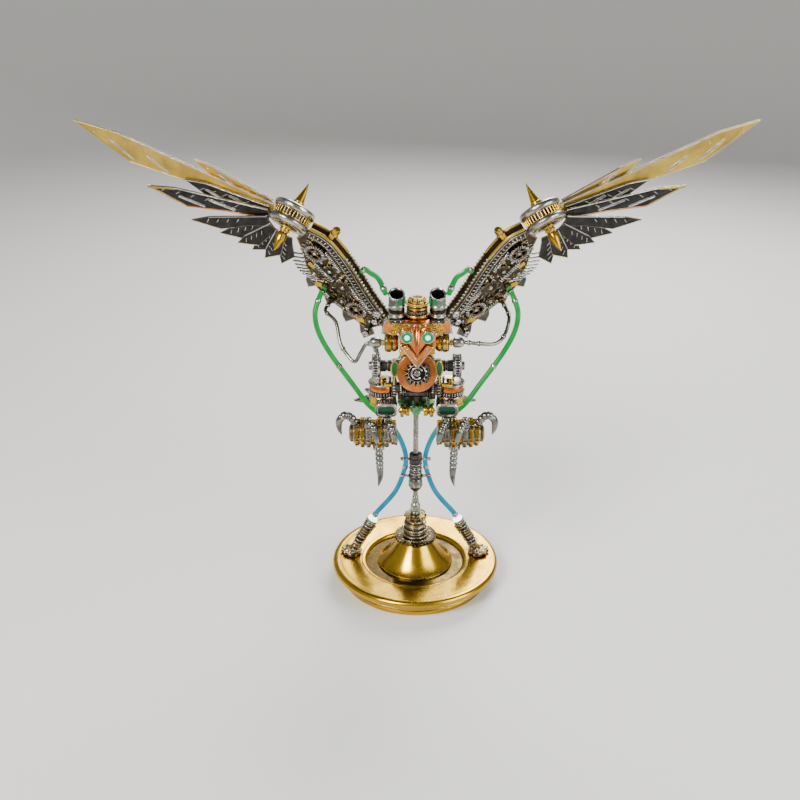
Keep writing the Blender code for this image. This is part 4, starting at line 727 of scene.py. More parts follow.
# ---- the head
# The head is a copper casting with a sloping forehead, a ridge down to the beak and two eye sockets. A dark brim,
# side panels and brass cogs are riveted to it, and a V-shaped plate makes the beak.
HEAD_HEIGHT = 18.2
EYE_RISE = 11.6
EAR_RISE = 2.7
head_low = 48.3
head_top = head_low + HEAD_HEIGHT
eye_level = head_low + EYE_RISE
box(work, body(-10, -26.7, head_low), body(10, -6, head_top), 0.9, round_off=1)
for side in (-1, 1):
    eye = body(side * 5.7, -26.7, eye_level)
    turned(work, [(0, -3), (4.5, -3), (4.5, 1.4), (4.2, 2), (3.5, 2), (3.3, 1.2), (0, 1.2)],
           aimed(eye, (0, -1, 0)), 40)
brow = smooth_route([body(0, -25.7, head_top - 1.5), body(0, -29.3, eye_level + 1),
                     body(0, -31.7, eye_level - 5), body(0, -31.1, head_low + 1.5)], 0.7)
swept(work, brow, 1.8, 14, [1 - 0.6 * (i / (len(brow) - 1)) ** 2 for i in range(len(brow))])
plate(work, [[(-7.6, 5.6), (7.6, 5.6), (4.2, -3.2), (-4.2, -3.2)]], 0, 0.9,
      aimed(body(0, -26.5, eye_level + 0.8), (0, -1, 0.16)))
fitted("head_casting", work, COPPER, ("head",))
box(work, body(-15.4, -20, head_top - 2), body(15.4, -8, head_top), round_off=0.5)
for side in (-1, 1):
    plate(work, [[(side * 9, 8.5), (side * 20, 8.5), (side * 18.5, 16.7), (side * 9, 17.7)]], -0.75, 0.5,
          aimed(body(0, -15, head_low), (0, -1, 0)))
fitted("head_brim", work, GUNMETAL)
trim = bmesh.new()
for side in (-1, 1):
    lie = aimed(body(0, -15, head_low), (0, -1, 0))
    panel = [(side * 9.5, 9.2), (side * 19.2, 9.2), (side * 17.9, 16.2), (side * 9.5, 17)]
    plate(work, [panel], 0.45, 0.95, lie)
    for a, b in zip(panel, panel[1:]):
        bar(trim, lie @ Vector((*a, 0.9)), lie @ Vector((*b, 0.9)), 0.34, 8)
fitted("head_side_panels", work, COPPER)
fitted("head_side_trim", trim, SILVER_STEEL)
for side in (-1, 1):
    for x, level, radius in ((12.4, 13.4, 2.6), (12.9, 9.4, 1.7), (10.4, 16.4, 2.2)):
        spot = aimed(body(side * x, -16.1, head_low + level), (0, -1, 0))
        plate(work, [cog_edge(radius, 0.5, 12), round_edge(radius * 0.35, 12)], 0, 0.9, spot)
        turned(work, [(0, 0.5), (radius * 0.3, 0.5), (radius * 0.25, 1.3), (0, 1.4)], spot, 12)
    spot = aimed(body(side * 8.6, -27, head_low + 16.2), (0, -1, 0.2))
    plate(work, [cog_edge(2.4, 0.5, 12), round_edge(0.9, 12)], -0.2, 0.6, spot)
    plate(work, [[(side * 4.4, 1), (side * 10.2, 2), (side * 10.2, 3.2), (side * 4.2, 2.4)]], 0, 1.2,
          aimed(body(0, -26.7, eye_level + 3.2), (0, -1, 0.12)))
    plate(work, [[(side * 5.8, -5.2), (side * 9.8, -4.2), (side * 9.8, -11), (side * 3.4, -11)]], 0, 0.8,
          aimed(body(0, -26.7, eye_level), (0, -1, 0)))
fitted("head_cogs", work, POLISHED_BRASS)
for side in (-1, 1):
    for x, z in ((1.6, 17), (4.6, 17.2), (7.4, 17.4), (8.9, 3), (8.9, 6.2)):
        bead(work, body(side * x, -26.9 + (0.3 if z > 10 else -0.8), head_low + z), 0.5, 1)
    for y in (-22, -16, -10):
        for z in (4, 15):
            bead(work, body(side * (9.95 - 0.028 * z * 1.6), y, head_low + z), 0.6, 1)
    for x in (3, 7):
        for z in (3.5, 9.5, 15):
            bolt(work, body(side * x, -6.1, head_low + z), (0, 1, 0), 0.8, 0.7)
for x in range(-12, 13, 3):
    bead(work, body(x, -20, head_top - 1), 0.45, 1)
    bead(work, body(x, -8, head_top - 1), 0.45, 1)
fitted("head_rivets", work, SILVER_STEEL)
lip = [(-8.4, 0), (-5.5, 1.2), (0, -6.5), (5.5, 1.2), (8.4, 0), (0.9, -12.2), (-0.9, -12.2)]
beak_at = aimed(body(0, -28.7, eye_level - 6.1), (0, -1, -0.09))
plate(work, [lip], -0.6, 0.6, beak_at)
plate(work, [[(-5.9, -0.9), (-5.2, -0.5), (0, -8.2), (5.2, -0.5), (5.9, -0.9), (0.6, -10.6), (-0.6, -10.6)]],
      0.5, 0.95, beak_at)
fitted("beak_lip", work, COPPER, ("beak_plate",))
for flip in (-1, 1):
    bar(work, beak_at @ Vector((flip * 8.4, 0, 0.5)), beak_at @ Vector((flip * 0.5, -12, 0.5)), 0.36, 10)
    bead(work, beak_at @ Vector((flip * 8.3, 0.1, 0.6)), 0.7, 2)
fitted("beak_trim", work, SILVER_STEEL)

# ---- the eyes
# Two frosted lenses glow pale cyan in the sockets. Each has a green glass ring round it and a fine steel bezel.
EYE_GLOW = glowing("eye_lens_glass", "white_glow", (0.4, 1, 0.86), (0.8, 1, 1), 3.4, 168, 175)
EYE_RING = glowing("eye_ring_glass", "green_glow", (0, 0.3, 0.08), (0.01, 0.42, 0.12), 1, 168, 175)
eye_at = aimed(body(5.7, -29, eye_level), (0, -1, 0))
turned(work, [(0, 0.2), (1.45, 0.2), (1.4, 1.6), (0.9, 1.95), (0, 2)], eye_at, 32)
fitted("eye_lens", work, EYE_GLOW, ("eye",), pair=True)
turned(work, [(1.45, 0), (3.2, 0), (3.2, 0.8), (2.9, 1.1), (2.2, 1.5), (1.45, 1.6)], eye_at, 36, closed=True)
fitted("eye_ring", work, EYE_RING, pair=True)
turned(work, [(3.15, 0), (3.6, 0), (3.6, 0.6), (3.4, 0.95), (3.15, 0.9)], eye_at, 36, closed=True)
fitted("eye_bezel", work, SILVER_STEEL, pair=True)

# ---- the crown, goggles and ears
# On the head stand a stack of gilt bands with dark teeth and, on each side, an upright steel tube with a dark
# bore and a green glass at its inner side. A stack of brass rings with a silver knob makes each ear.
crown = moved(body(0, -14, head_top + 0.3))
turned(work, [(0, 0), (6, 0), (6.2, 0.3), (6.2, 1.7), (5.9, 2), (5.1, 2.6), (5.1, 3.4), (5.7, 4.4), (5.9, 5),
              (5.9, 5.7), (5.6, 6.1), (5, 6.5), (5, 9), (4.6, 9.5), (3.6, 10.2), (3.4, 11), (2.6, 11),
              (2.4, 10.4), (0, 10.4)], crown, 48)
fitted("crown_bands", work, AGED_BRONZE, ("crown_gear",))
for radius, level, across, tall in ((6.1, 1, 0.45, 0.5), (5.7, 5.3, 0.45, 0.4), (5, 9.1, 0.35, 0.35),
                                    (3.6, 10.7, 0.3, 0.3)):
    band(work, radius, level, across, tall, crown, 48)
pins(work, crown, 22, 4.6, 9.2, 1.4, 0.34)
fitted("crown_rings", work, POLISHED_BRASS)
plate(work, [cog_edge(6, 0.8, 20), round_edge(3, 20)], 2.5, 3.6, crown)
fitted("crown_teeth", work, GUNMETAL)
plate(work, [cog_edge(6.5, 0.9, 22), round_edge(3, 22)], 7.2, 8.5, crown)
plate(work, [cog_edge(6.6, 0.6, 26), round_edge(3, 26)], 0.3, 1.6, crown)
fitted("crown_gilt_wheels", work, POLISHED_BRASS)
GOGGLE_ACROSS = 11.4
GOGGLE_RADIUS = 4.6
goggle = moved(body(GOGGLE_ACROSS, -15, head_top + 0.3))


SLANT_START = 7
SLANT_LENGTH = 8.4
SLANT_DROP = 4.4


def slant_mouth(work):
    """Slants the goggle's mouth down towards the front, so that its bore shows."""
    for vert in work.verts:
        rise = vert.co.z - goggle.translation.z - SLANT_START
        if rise > 0:
            behind = (vert.co.y - goggle.translation.y) / (2 * GOGGLE_RADIUS)
            vert.co.z -= rise / SLANT_LENGTH * SLANT_DROP * (0.5 - behind)


turned(work, [(0, 0), (4.4, 0), (4.6, 0.2), (4.6, 1.5), (4.3, 1.8), (4.3, 5.8), (4.6, 6.1), (4.6, 6.9), (4.4, 7.2),
              (4.4, 14.4), (4.6, 14.7), (4.6, 15.2), (4.4, 15.4), (4, 15.4), (3.8, 15), (3.8, 6.4), (0, 6.4)],
       goggle, 56)
slant_mouth(work)
fitted("goggle_tube", work, SMOKED_STEEL, ("goggle",), pair=True)
band(work, 4.3, 15.2, 0.42, 0.4, goggle, 56)
slant_mouth(work)
band(work, 4.5, 6.5, 0.3, 0.4, goggle, 56)
band(work, 4.5, 0.8, 0.3, 0.5, goggle, 56)
fitted("goggle_rims", work, SILVER_STEEL, pair=True)
turned(work, [(0, 6.45), (3.79, 6.45), (3.79, 15), (3.66, 15), (3.66, 6.6), (0, 6.6)], goggle, 40)
slant_mouth(work)
band(work, 4.35, 3.8, 0.3, 1.3, goggle, 40)
fitted("goggle_bore", work, BLACK_STEEL, pair=True)
GOGGLE_GLASS = glowing("goggle_glass", "green_glow", (0, 0.16, 0.05), (0, 0.3, 0.1), 0.8, 178, 192)
for turn in (2.2, 3, 3.8):
    box(work, (-0.5, -0.9, 8), (0.35, 0.9, 11.2), place=goggle @ Matrix.Rotation(turn + 0.5, 4, "Z")
        @ moved((4.4, 0, 0)), round_off=0.25)
fitted("goggle_side_glass", work, GOGGLE_GLASS, pair=True)
ear = aimed(body(10.3, -14, head_low + EAR_RISE), (1, 0, 0))
turned(work, [(0, 0), (3.8, 0), (4.4, 0.8), (5.2, 1.8), (5.2, 3), (4.5, 3.3), (4.5, 3.9), (5.3, 4.3), (5.5, 4.8),
              (5.5, 6.6), (5.2, 7), (4.5, 7.2), (4.4, 7.8), (3.4, 8), (1.6, 8.1), (1.6, 10.3), (0, 10.3)],
       ear, 40)
fitted("ear_rings", work, POLISHED_BRASS, ("ear",), pair=True)
turned(work, [(0, 9.9), (1.9, 9.9), (2.9, 10.8), (3, 11.2), (3, 14.2), (2.7, 15.2), (2, 15.9), (1.2, 16.5),
              (0, 16.5)], ear, 32)
band(work, 1.8, 9.1, 0.3, 0.4, ear, 24)
fitted("ear_knob", work, SILVER_STEEL, pair=True)
plate(work, [cog_edge(5.5, 0.6, 18), round_edge(3, 18)], 3.35, 3.85, ear)
plate(work, [cog_edge(5, 0.5, 18), round_edge(3, 18)], 7.15, 7.75, ear)
fitted("ear_teeth", work, GUNMETAL, pair=True)

# ---- the tail
# Seven dark sheet-metal feathers spread from one hub behind the rump. Each has a raised shaft, pressed barbs and
# a rubbed edge.


def feather_edge(length, root, width, root_width):
    """A feather's edge: its long axis is +X, the leading side is -Y and the trailing side bulges more."""
    return [(root, -root_width / 2), (0.8 * length, -0.25 * width), (length, 0), (0.74 * length, 0.66 * width),
            (0.44 * length, 0.38 * width), (root, root_width / 2)]


def strip(work, start, end, wide, low, high, place):
    """A thin raised strip between two points of a plate."""
    a = Vector(start)
    b = Vector(end)
    way = (b - a).normalized()
    side = Vector((-way.y, way.x)) * wide / 2
    plate(work, [[tuple(a - side), tuple(b - side), tuple(b + side), tuple(a + side)]], low, high, place)


tail_hub = body(0, 33, 2.5)
plates = bmesh.new()
ribs = bmesh.new()
for index, heading in enumerate((-78, -52, -26, 0, 26, 52, 78)):
    length = 47 * (1 - 0.14 * abs(heading) / 90)
    flip = -1 if heading > 0 else 1
    place = (moved(tail_hub + Vector((0, 0, (index % 2) * 0.5)))
             @ Matrix.Rotation(radians(90 - heading), 4, "Z") @ Matrix.Rotation(radians(17), 4, "Y"))
    edge = [(x, flip * y) for x, y in feather_edge(length, 0, 13, 5)]
    plate(plates, [edge], -0.4, 0.4, place)
    for low, high in ((0.35, 0.7), (-0.7, -0.35)):
        strip(ribs, (3, 0), (length * 0.97, 0), 0.7, low, high, place)
        for share in (0.3, 0.4, 0.5, 0.6, 0.7, 0.8):
            reach = 0.17 * length * (0.9 if share < 0.7 else 0.65)
            strip(ribs, (share * length, 0), (share * length + 3.2, flip * 0.36 * reach * 1.25), 0.34, low * 0.9,
                  high * 0.9, place)
            strip(ribs, (share * length, 0), (share * length + 3.2, -flip * 0.26 * reach), 0.34, low * 0.9,
                  high * 0.9, place)
        for a, b in zip(edge, edge[1:]):
            strip(ribs, a, b, 0.36, low * 0.8, high * 0.8, place)
turned(plates, [(0, -2.5), (6, -2.5), (6.5, -2), (6.5, 2), (6, 2.5), (0, 2.5)],
       moved(tail_hub), 40)
fitted("tail_plates", plates, GUNMETAL, ("tail_fan",))
for _, spot in around(8, 5.2, -2.4):
    bolt(ribs, tail_hub + spot, (0, 0, -1), 0.6, 0.6)
band(ribs, 6.4, 0, 0.3, 0.7, moved(tail_hub), 40)
fitted("tail_ribs", ribs, AGED_BRONZE)

# ---- the wing arms
# Each arm is a bronze rail with a scalloped front edge, and a web of plates behind it that carries wheels,
# springs, sockets for the tubes, a hexagonal knob and steel bolts.
WING_SWEEP = radians(5.7)
WING_RISE = radians(27.4)
WING_PITCH = radians(57.7)
ARM_ANGLE = radians(151)
ARM_LENGTH = 87
WEB_MIDDLE = 3.2
WEB_HALF = 1.2
turn = (Matrix.Rotation(WING_SWEEP, 4, "Z") @ Matrix.Rotation(-WING_RISE, 4, "Y")
        @ Matrix.Rotation(-WING_PITCH, 4, "X"))
shoulder = body(12.6, 18.5, 49.6)
arm_way = Vector((ARM_LENGTH * cos(ARM_ANGLE), ARM_LENGTH * sin(ARM_ANGLE), WEB_MIDDLE))
wing = moved(shoulder + Vector((3.7, 1.5, 1.5)) - turn.to_3x3() @ arm_way) @ turn
FEATHER_GOLD = metal("feather_gilt_finish", "polished_brass", (0.53, 0.365, 0.065), (0.29, 0.19, 0.03),
                     (1, 0.86, 0.5), 0.2, 0.42, cloud=70, stretch=(0.12, 1, 0.5))


def arm_point(share, across, level=None):
    """A point of the wing's plane, by its share of the way from hub to shoulder and its distance across."""
    along = share * ARM_LENGTH
    spot = (along * cos(ARM_ANGLE) + across * sin(ARM_ANGLE), along * sin(ARM_ANGLE) - across * cos(ARM_ANGLE))
    return spot if level is None else Vector((*spot, level))


def small_plates(work, rows, corner, low, high):
    """Small round-cornered plates on the web, each from where it lies, its size and its turn."""
    for share, across, width, height, spin in rows:
        lie = wing @ moved(arm_point(share, across, 0)) @ Matrix.Rotation(spin, 4, "Z")
        plate(work, [rounded_edge(width, height, corner, 3)], low, high, lie)


def coil(work, start, end, radius, wire, turns, place):
    """A spring wound between two points."""
    start = Vector(start)
    end = Vector(end)
    lie = place @ aimed(start, end - start)
    length = (end - start).length
    count = turns * 12
    route = [lie @ Vector((radius * cos(2 * pi * turns * i / count),
                           radius * sin(2 * pi * turns * i / count), length * i / count))
             for i in range(count + 1)]
    swept(work, route, wire, 6)


rail_spots = [(0.12, -6), (0.22, -10.5), (0.36, -10.5), (0.52, -8), (0.73, -3.5), (0.93, -0.5), (1, 0)]
rail_route = smooth_route([Vector((*arm_point(*spot), 0)) for spot in rail_spots], 1.25)
rail_line = []
for index, spot in enumerate(rail_route):
    ahead = rail_route[min(index + 1, len(rail_route) - 1)] - rail_route[max(index - 1, 0)]
    rail_line.append((spot, Vector((ahead.y, -ahead.x, 0)).normalized()))


def beside_rail(offset):
    """The rail's line moved across, towards the web if the offset is positive."""
    return [spot + across * offset for spot, across in rail_line]


plate(work, [[(p.x, p.y) for p in beside_rail(-2)] + [(p.x, p.y) for p in reversed(beside_rail(3.6))]], -0.2, 6.6,
      wing)
web = [(0.135, -5), (0.135, 6), (0.21, 9), (0.36, 17), (0.46, 22), (0.62, 24), (0.8, 20), (0.99, 17), (1, 0),
       (0.7, -4), (0.4, -10)]
plate(work, [[arm_point(*spot) for spot in web]], 2, 4.4, wing)
socket = aimed(shoulder + Vector((0.3, 0, 0)), (1, 0, 0))
turned(work, [(0, 0), (5.4, 0), (5.6, 0.4), (5.6, 2), (5.2, 2.3), (5.2, 3), (5.6, 3.3), (5.6, 6.4), (5.2, 7),
              (0, 7)], socket, 40)
for share, across in ((0.53, 14), (0.65, 19)):
    turned(work, [(0, -2.5), (1.5, -2.5), (1.9, -2.2), (2.1, -1.8), (2.1, -0.6), (1.7, -0.3), (1.7, 0.5), (2.1, 0.8),
                  (2.1, 3.2), (0, 3.2)], wing @ moved(arm_point(share, across, 0)), 24)
fitted("arm_rail_and_web", work, DARK_BRONZE, ("wing_arm",), pair=True)

edge_line = beside_rail(-2.2)
near_hub = int(0.34 * len(edge_line))
for level in (0.7, 5.7):
    swept(work, [wing @ (spot + Vector((0, 0, level))) for spot in edge_line[:near_hub]], 0.85, 14)
    swept(work, [wing @ (spot + Vector((0, 0, level))) for spot in edge_line[near_hub - 1:]], 0.5, 10)
fitted("arm_rail_tubes", work, FEATHER_GOLD, pair=True)
for side in (-0.75, 6.5):
    line = beside_rail(-0.9)
    for a, b in zip(line, line[1:]):
        strip(work, (a.x, a.y), (b.x, b.y), 0.3, side + 0.2, side + 0.6, wing)
    for inner, outer, wide, step in ((0.2, 1.7, 0.6, 2), (2.3, 3.4, 0.5, 1)):
        for a, b in list(zip(beside_rail(inner), beside_rail(outer)))[1::step]:
            strip(work, (a.x, a.y), (b.x, b.y), wide, side, side + 0.6, wing)
    for spot in beside_rail(-2.9)[near_hub::2]:
        bead(work, wing @ (spot + Vector((0, 0, 0.6 if side < 0 else 5.8))), 0.8, 2)
for index in range(9):
    share = 0.27 + 0.03 * index
    reach = 11.5 + 6 * sin(pi * index / 10)
    strip(work, arm_point(share, reach), arm_point(share - 0.05, reach + 7), 0.6, 1.4, 2.6, wing)
fitted("arm_ribs", work, SILVER_STEEL, pair=True)
steel_bits = bmesh.new()
gilt_bits = bmesh.new()
SCATTER = (0.618034, 0.754878, 0.381966, 0.56984)
for index in range(120):
    a, b, c, d = ((index * step) % 1 for step in SCATTER)
    share = 0.2 + 0.77 * a
    reach = 8 + 13 * min(1, (share - 0.15) / 0.3) - max(0, share - 0.7) * 14
    across = -2 + (reach + 1) * b
    heading = 2 * pi * c
    long = 1.2 + 2.2 * d
    x, y = arm_point(share, across)
    bits = steel_bits if index % 3 else gilt_bits
    strip(bits, (x, y), (x + long * cos(heading), y + long * sin(heading)), 0.38, 1.55, 2.05, wing)
    if index % 4 == 0:
        turned(bits, [(0, 0.9), (0.8, 0.9), (0.9, 1.2), (0.9, 2.1), (0, 2.1)], wing @ moved(
            Vector((*arm_point(share, max(0, across - 3)), 0))), 10)
fitted("arm_steel_bits", steel_bits, SILVER_STEEL, pair=True)
fitted("arm_gilt_bits", gilt_bits, FEATHER_GOLD, pair=True)

teeth_bits = bmesh.new()
for share, across, radius, teeth in ((0.28, 2.5, 6.4, 18), (0.8, 10, 6.6, 20)):
    x, y = arm_point(share, across)
    plate(work, [cog_edge(radius, 1.2, teeth, (x, y)), round_edge(radius * 0.62, 24, (x, y))], -0.3, 2.1, wing)
    turned(work, [(0, 0), (radius * 0.26, 0), (radius * 0.3, 0.3), (radius * 0.3, 2.1), (0, 2.1)],
           wing @ moved((x, y, 0)), 20)
    for c, s in round_edge(1, 5):
        strip(work, (x + c, y + s), (x + 0.7 * radius * c, y + 0.7 * radius * s), radius * 0.16, 0.2, 1.9, wing)
    for c, s in round_edge(1, 26):
        strip(teeth_bits, (x + 0.72 * radius * c, y + 0.72 * radius * s),
              (x + 0.98 * radius * c, y + 0.98 * radius * s), 0.4, -0.65, -0.25, wing)
for share, across, radius, teeth, level in ((0.45, 4.5, 4.4, 14, 0.9), (0.6, 6, 5, 16, 0.6),
                                            (0.42, 15, 3.4, 12, 1), (0.93, 9, 3.6, 12, 0.8),
                                            (0.7, 14.5, 3, 10, 0.6)):
    x, y = arm_point(share, across)
    plate(work, [cog_edge(radius, 0.8, teeth, (x, y)), round_edge(radius * 0.34, 16, (x, y))], level, 2.1, wing)
fitted("arm_wheels", work, DARK_BRONZE, pair=True)
fitted("arm_wheel_teeth", teeth_bits, SILVER_STEEL, pair=True)
below = -(wing.to_3x3() @ Vector((0, 0, 1)))
for share, across, radius in ((0.45, 4.5, 0.8), (0.6, 6, 0.9), (0.42, 15, 0.7), (0.93, 9, 0.8), (0.28, 2.5, 1),
                              (0.8, 10, 1.1), (0.7, 14.5, 0.7)):
    bolt(work, wing @ arm_point(share, across, 0.4), below, radius, 0.9)
for share, across, long in ((0.97, 13, 9), (0.93, 4, 5.4), (0.88, -1.5, 4.8)):
    foot = wing @ arm_point(share, across, WEB_MIDDLE)
    turned(work, [(0, 0), (2.2, 0), (2.2, long - 3), (1.8, long - 2.7), (1.8, long - 2.2), (2.2, long - 2.2),
                  (2.2, long - 0.3), (1.9, long), (1, long), (0.9, long - 0.5), (0, long - 0.5)],
           aimed(foot, below), 6)
fitted("arm_bolts", work, SILVER_STEEL, pair=True)
springs = (((0.34, 9), (0.52, 8), 0.6, 1.3, 0.32, 11), ((0.64, 1.2), (0.84, 2.2), 0.2, 1.2, 0.3, 12),
           ((0.56, 21), (0.76, 18), 0.8, 1.2, 0.3, 12), ((0.3, -5.4), (0.46, -4), -0.9, 0.9, 0.26, 12))
for a, b, level, radius, thick, turns in springs:
    coil(work, arm_point(*a, level), arm_point(*b, level), radius, thick, turns, wing)
for a, b, *_ in springs[:3]:
    bar(work, wing @ arm_point(*a, 0.7), wing @ arm_point(*b, 0.7), 0.55, 8)
fitted("arm_springs", work, SILVER_STEEL, pair=True)
inner = wing @ arm_point(0.24, -12, WEB_MIDDLE)
outer = wing @ arm_point(0.2, -21.5, WEB_MIDDLE)
way = outer - inner
turned(work, [(0, 0), (2, 0), (2, 1.6), (2.6, 2), (2.8, 2.6), (2.8, 5.6), (2.5, 6), (1.9, 6.2), (1.9, 7),
              (2.4, 7.3), (2.4, way.length - 0.8), (1.8, way.length), (0, way.length)], aimed(inner, way), 6)
turned(work, [(0, 5), (2.5, 5), (2.5, 5.4), (0, 5.4)], aimed(inner, way), 24)
small_plates(work, ((0.52, 19.5, 5.5, 3.4, 0.2), (0.36, 12.5, 4.6, 2.8, -0.3), (0.9, 15, 5, 3.4, 0.5)),
             0.8, 1, 2.1)
fitted("arm_knob", work, POLISHED_BRASS, pair=True)
small_plates(work, ((0.66, 22, 5.5, 1.8, -0.4), (0.86, 16.5, 4.5, 2, -0.1), (0.72, 4.4, 4.5, 2.2, -0.6)),
             0.9, 1.3, 2.05)
fitted("arm_copper_plates", work, COPPER, pair=True)
for a, b in zip(web, web[1:]):
    p = arm_point(*a)
    q = arm_point(*b)
    strip(work, p, q, 0.7, 4.3, 4.8, wing)
    strip(work, p, q, 0.7, 1.6, 2.1, wing)
for index in range(9):
    share = 0.22 + 0.085 * index
    strip(work, arm_point(share, -2), arm_point(share + 0.02, 10 + 1.2 * index if index < 5 else 15), 0.6, 4.3, 4.75,
          wing)
fitted("arm_web_ribs", work, AGED_BRONZE, pair=True)

# ---- the wing hubs
# The outer joint of each wing is a stack: two thick polished steel rings with gilt ribs between them on a dark
# drum, a gilt toothed ring above and below, and a gilt turned spike at each end.
hub = wing @ Matrix.Rotation(radians(29), 4, "X")
for low, high in ((-2.4, 1.2), (5.3, 9.55)):
    turned(work, [(9, low + 0.7), (9.5, low + 0.2), (10.4, low), (11.3, low + 0.35), (11.8, low + 1),
                  (11.95, low + 1.7), (11.95, high - 1.7), (11.8, high - 1), (11.3, high - 0.35), (10.4, high),
                  (9.5, high - 0.2), (9, high - 0.7)], hub, 72, closed=True)
fitted("hub_rings", work, SILVER_STEEL, ("wing_hub",), pair=True)
turned(work, [(0, -1.9), (9.2, -1.9), (9.2, 0), (10.3, 0.1), (10.3, 6.4), (9.2, 6.5), (9.2, 9.1), (0, 9.1)], hub, 72)
plate(work, [cog_edge(5.6, 0.9, 14)], -2.9, -1.85, hub)
plate(work, [cog_edge(5.6, 0.9, 14)], 9.05, 9.9, hub)
fitted("hub_band", work, BLACK_STEEL, pair=True)
for level in (1.35, 5.15):
    band(work, 10.7, level, 0.35, 0.22, hub, 72)
pins(work, hub, 34, 10.55, 1.5, 3.5, 0.36)
plate(work, [cog_edge(8, 0.8, 26), round_edge(6.2, 40)], -2.6, -1.85, hub)
plate(work, [cog_edge(8, 0.8, 26), round_edge(6.2, 40)], 9.05, 9.7, hub)
upper = hub @ moved((0, 0, 9.5))
turned(work, [(0, 0), (4, 0), (4.2, 0.4), (4, 1), (3.2, 1.2), (3.2, 1.7), (3.5, 2), (3.5, 2.6), (2.9, 3),
              (2.7, 3.6), (0.12, 14.9), (0, 14.9)], upper, 32)
lower = hub @ moved((0, 0, -2.9)) @ Matrix.Rotation(pi, 4, "X")
turned(work, [(0, 0), (3.6, 0), (3.8, 0.4), (3.4, 0.9), (2.7, 1.1), (2.7, 1.6), (3.1, 1.9), (3.1, 2.5), (2.4, 2.8),
              (2.2, 3.5), (2.6, 4.2), (2.9, 5.2), (2.9, 7.2), (2.5, 9), (1.5, 12), (0.12, 14.9), (0, 14.9)],
       lower, 32)
fitted("hub_spikes", work, POLISHED_BRASS, pair=True)
# Thin dark plates on the lower spike stand for its slots: painted shade, as no holes are cut.
for step in range(4):
    place = lower @ Matrix.Rotation(pi / 2 * step + 0.4, 4, "Z")
    plate(work, [rounded_edge(0.9, 3.6, 0.4, 3)], 2.7, 3.05,
          place @ moved((0, 0, 6.2)) @ Matrix.Rotation(pi / 2, 4, "X"))
fitted("hub_spike_slot_shade", work, GROOVE_SHADE, pair=True)

# ---- the feathers
# The fan is cut from sheet: dark short feathers in front, then gilt and dark blades, each a little above the
# last. They have bright folded edges, slots, pressed ribs and rows of bright steel dashes that are painted slot
# highlights.


def spun(outline, angle):
    """An outline turned about the hub."""
    c = cos(angle)
    s = sin(angle)
    return [(c * x - s * y, s * x + c * y) for x, y in outline]


SLOT_WIDTH = 0.9


def slot_edge(start, end, low, high):
    """A narrow slanted slot along a feather, with a pointed end each way."""
    half = SLOT_WIDTH / 2
    return [(start, low - half), (end - SLOT_WIDTH, high - half), (end, high + half),
            (start + SLOT_WIDTH, low + half)]


def rubbed_edges(work, edge, sides, wide, low, high, place):
    """Folded strips along chosen sides of a feather, or outside a slot if the width is negative."""
    middle = Vector((sum(x for x, y in edge) / len(edge), sum(y for x, y in edge) / len(edge)))
    for index in sides:
        a = Vector(edge[index])
        b = Vector(edge[(index + 1) % len(edge)])
        way = (b - a).normalized()
        inward = Vector((-way.y, way.x))
        if inward.dot(middle - a) < 0:
            inward = -inward
        strip(work, a + inward * wide / 2, b + inward * wide / 2, abs(wide), low, high, place)


def glint_dashes(work, start, end, across_start, across_end, count, long, wide, slant, low, high, place, spin):
    """A row of short bright dashes along a feather, each set at a slant: painted highlights where its slots catch the
    light.
    """
    for i in range(count):
        t = (i + 0.5) / count
        x = start + (end - start) * t
        y = across_start + (across_end - across_start) * t
        a, b = spun([(x, y), (x + long * cos(slant), y + long * sin(slant))], spin)
        strip(work, a, b, wide, low, high, place)


gold_edges = bmesh.new()
steel_edges_and_glints = bmesh.new()
copper_edges = bmesh.new()
base_level = 0.9
SHEET_HALF = 0.4
FAN_STEP = 1.1
dark = bmesh.new()
for index, (angle, length) in enumerate(((37.8, 65.7), (49, 52), (60, 45), (71, 41), (83, 40), (98, 38))):
    spin = radians(angle)
    level = base_level + 0.35 * (index % 2)
    edge = spun(feather_edge(length, 13.1, 10, 7), spin)
    plate(dark, [edge], level - SHEET_HALF, level + SHEET_HALF, wing)
    under = (level - 0.58, level - 0.35)
    over = (level + 0.35, level + 0.55)
    rubbed_edges(steel_edges_and_glints, edge, (0,), 0.36, *under, wing)
    rubbed_edges(gold_edges, edge, (2,), 0.36, *under, wing)
    rubbed_edges(gold_edges, edge, (0, 1, 2, 3, 4), 0.4, *over, wing)
    # Bright steel dashes under the feather: painted highlights of its slots.
    glint_dashes(steel_edges_and_glints, 0.44 * length, 0.86 * length, -1.2, -0.6, 4, 3.2, 0.28, 0.75, *under, wing, spin)
    a, b = spun([(0.3 * length, -0.2), (0.96 * length, -0.1)], spin)
    strip(gold_edges, a, b, 0.35, *over, wing)
fitted("rear_fan_plates", dark, BLACK_STEEL, ("rear_fan",), pair=True)

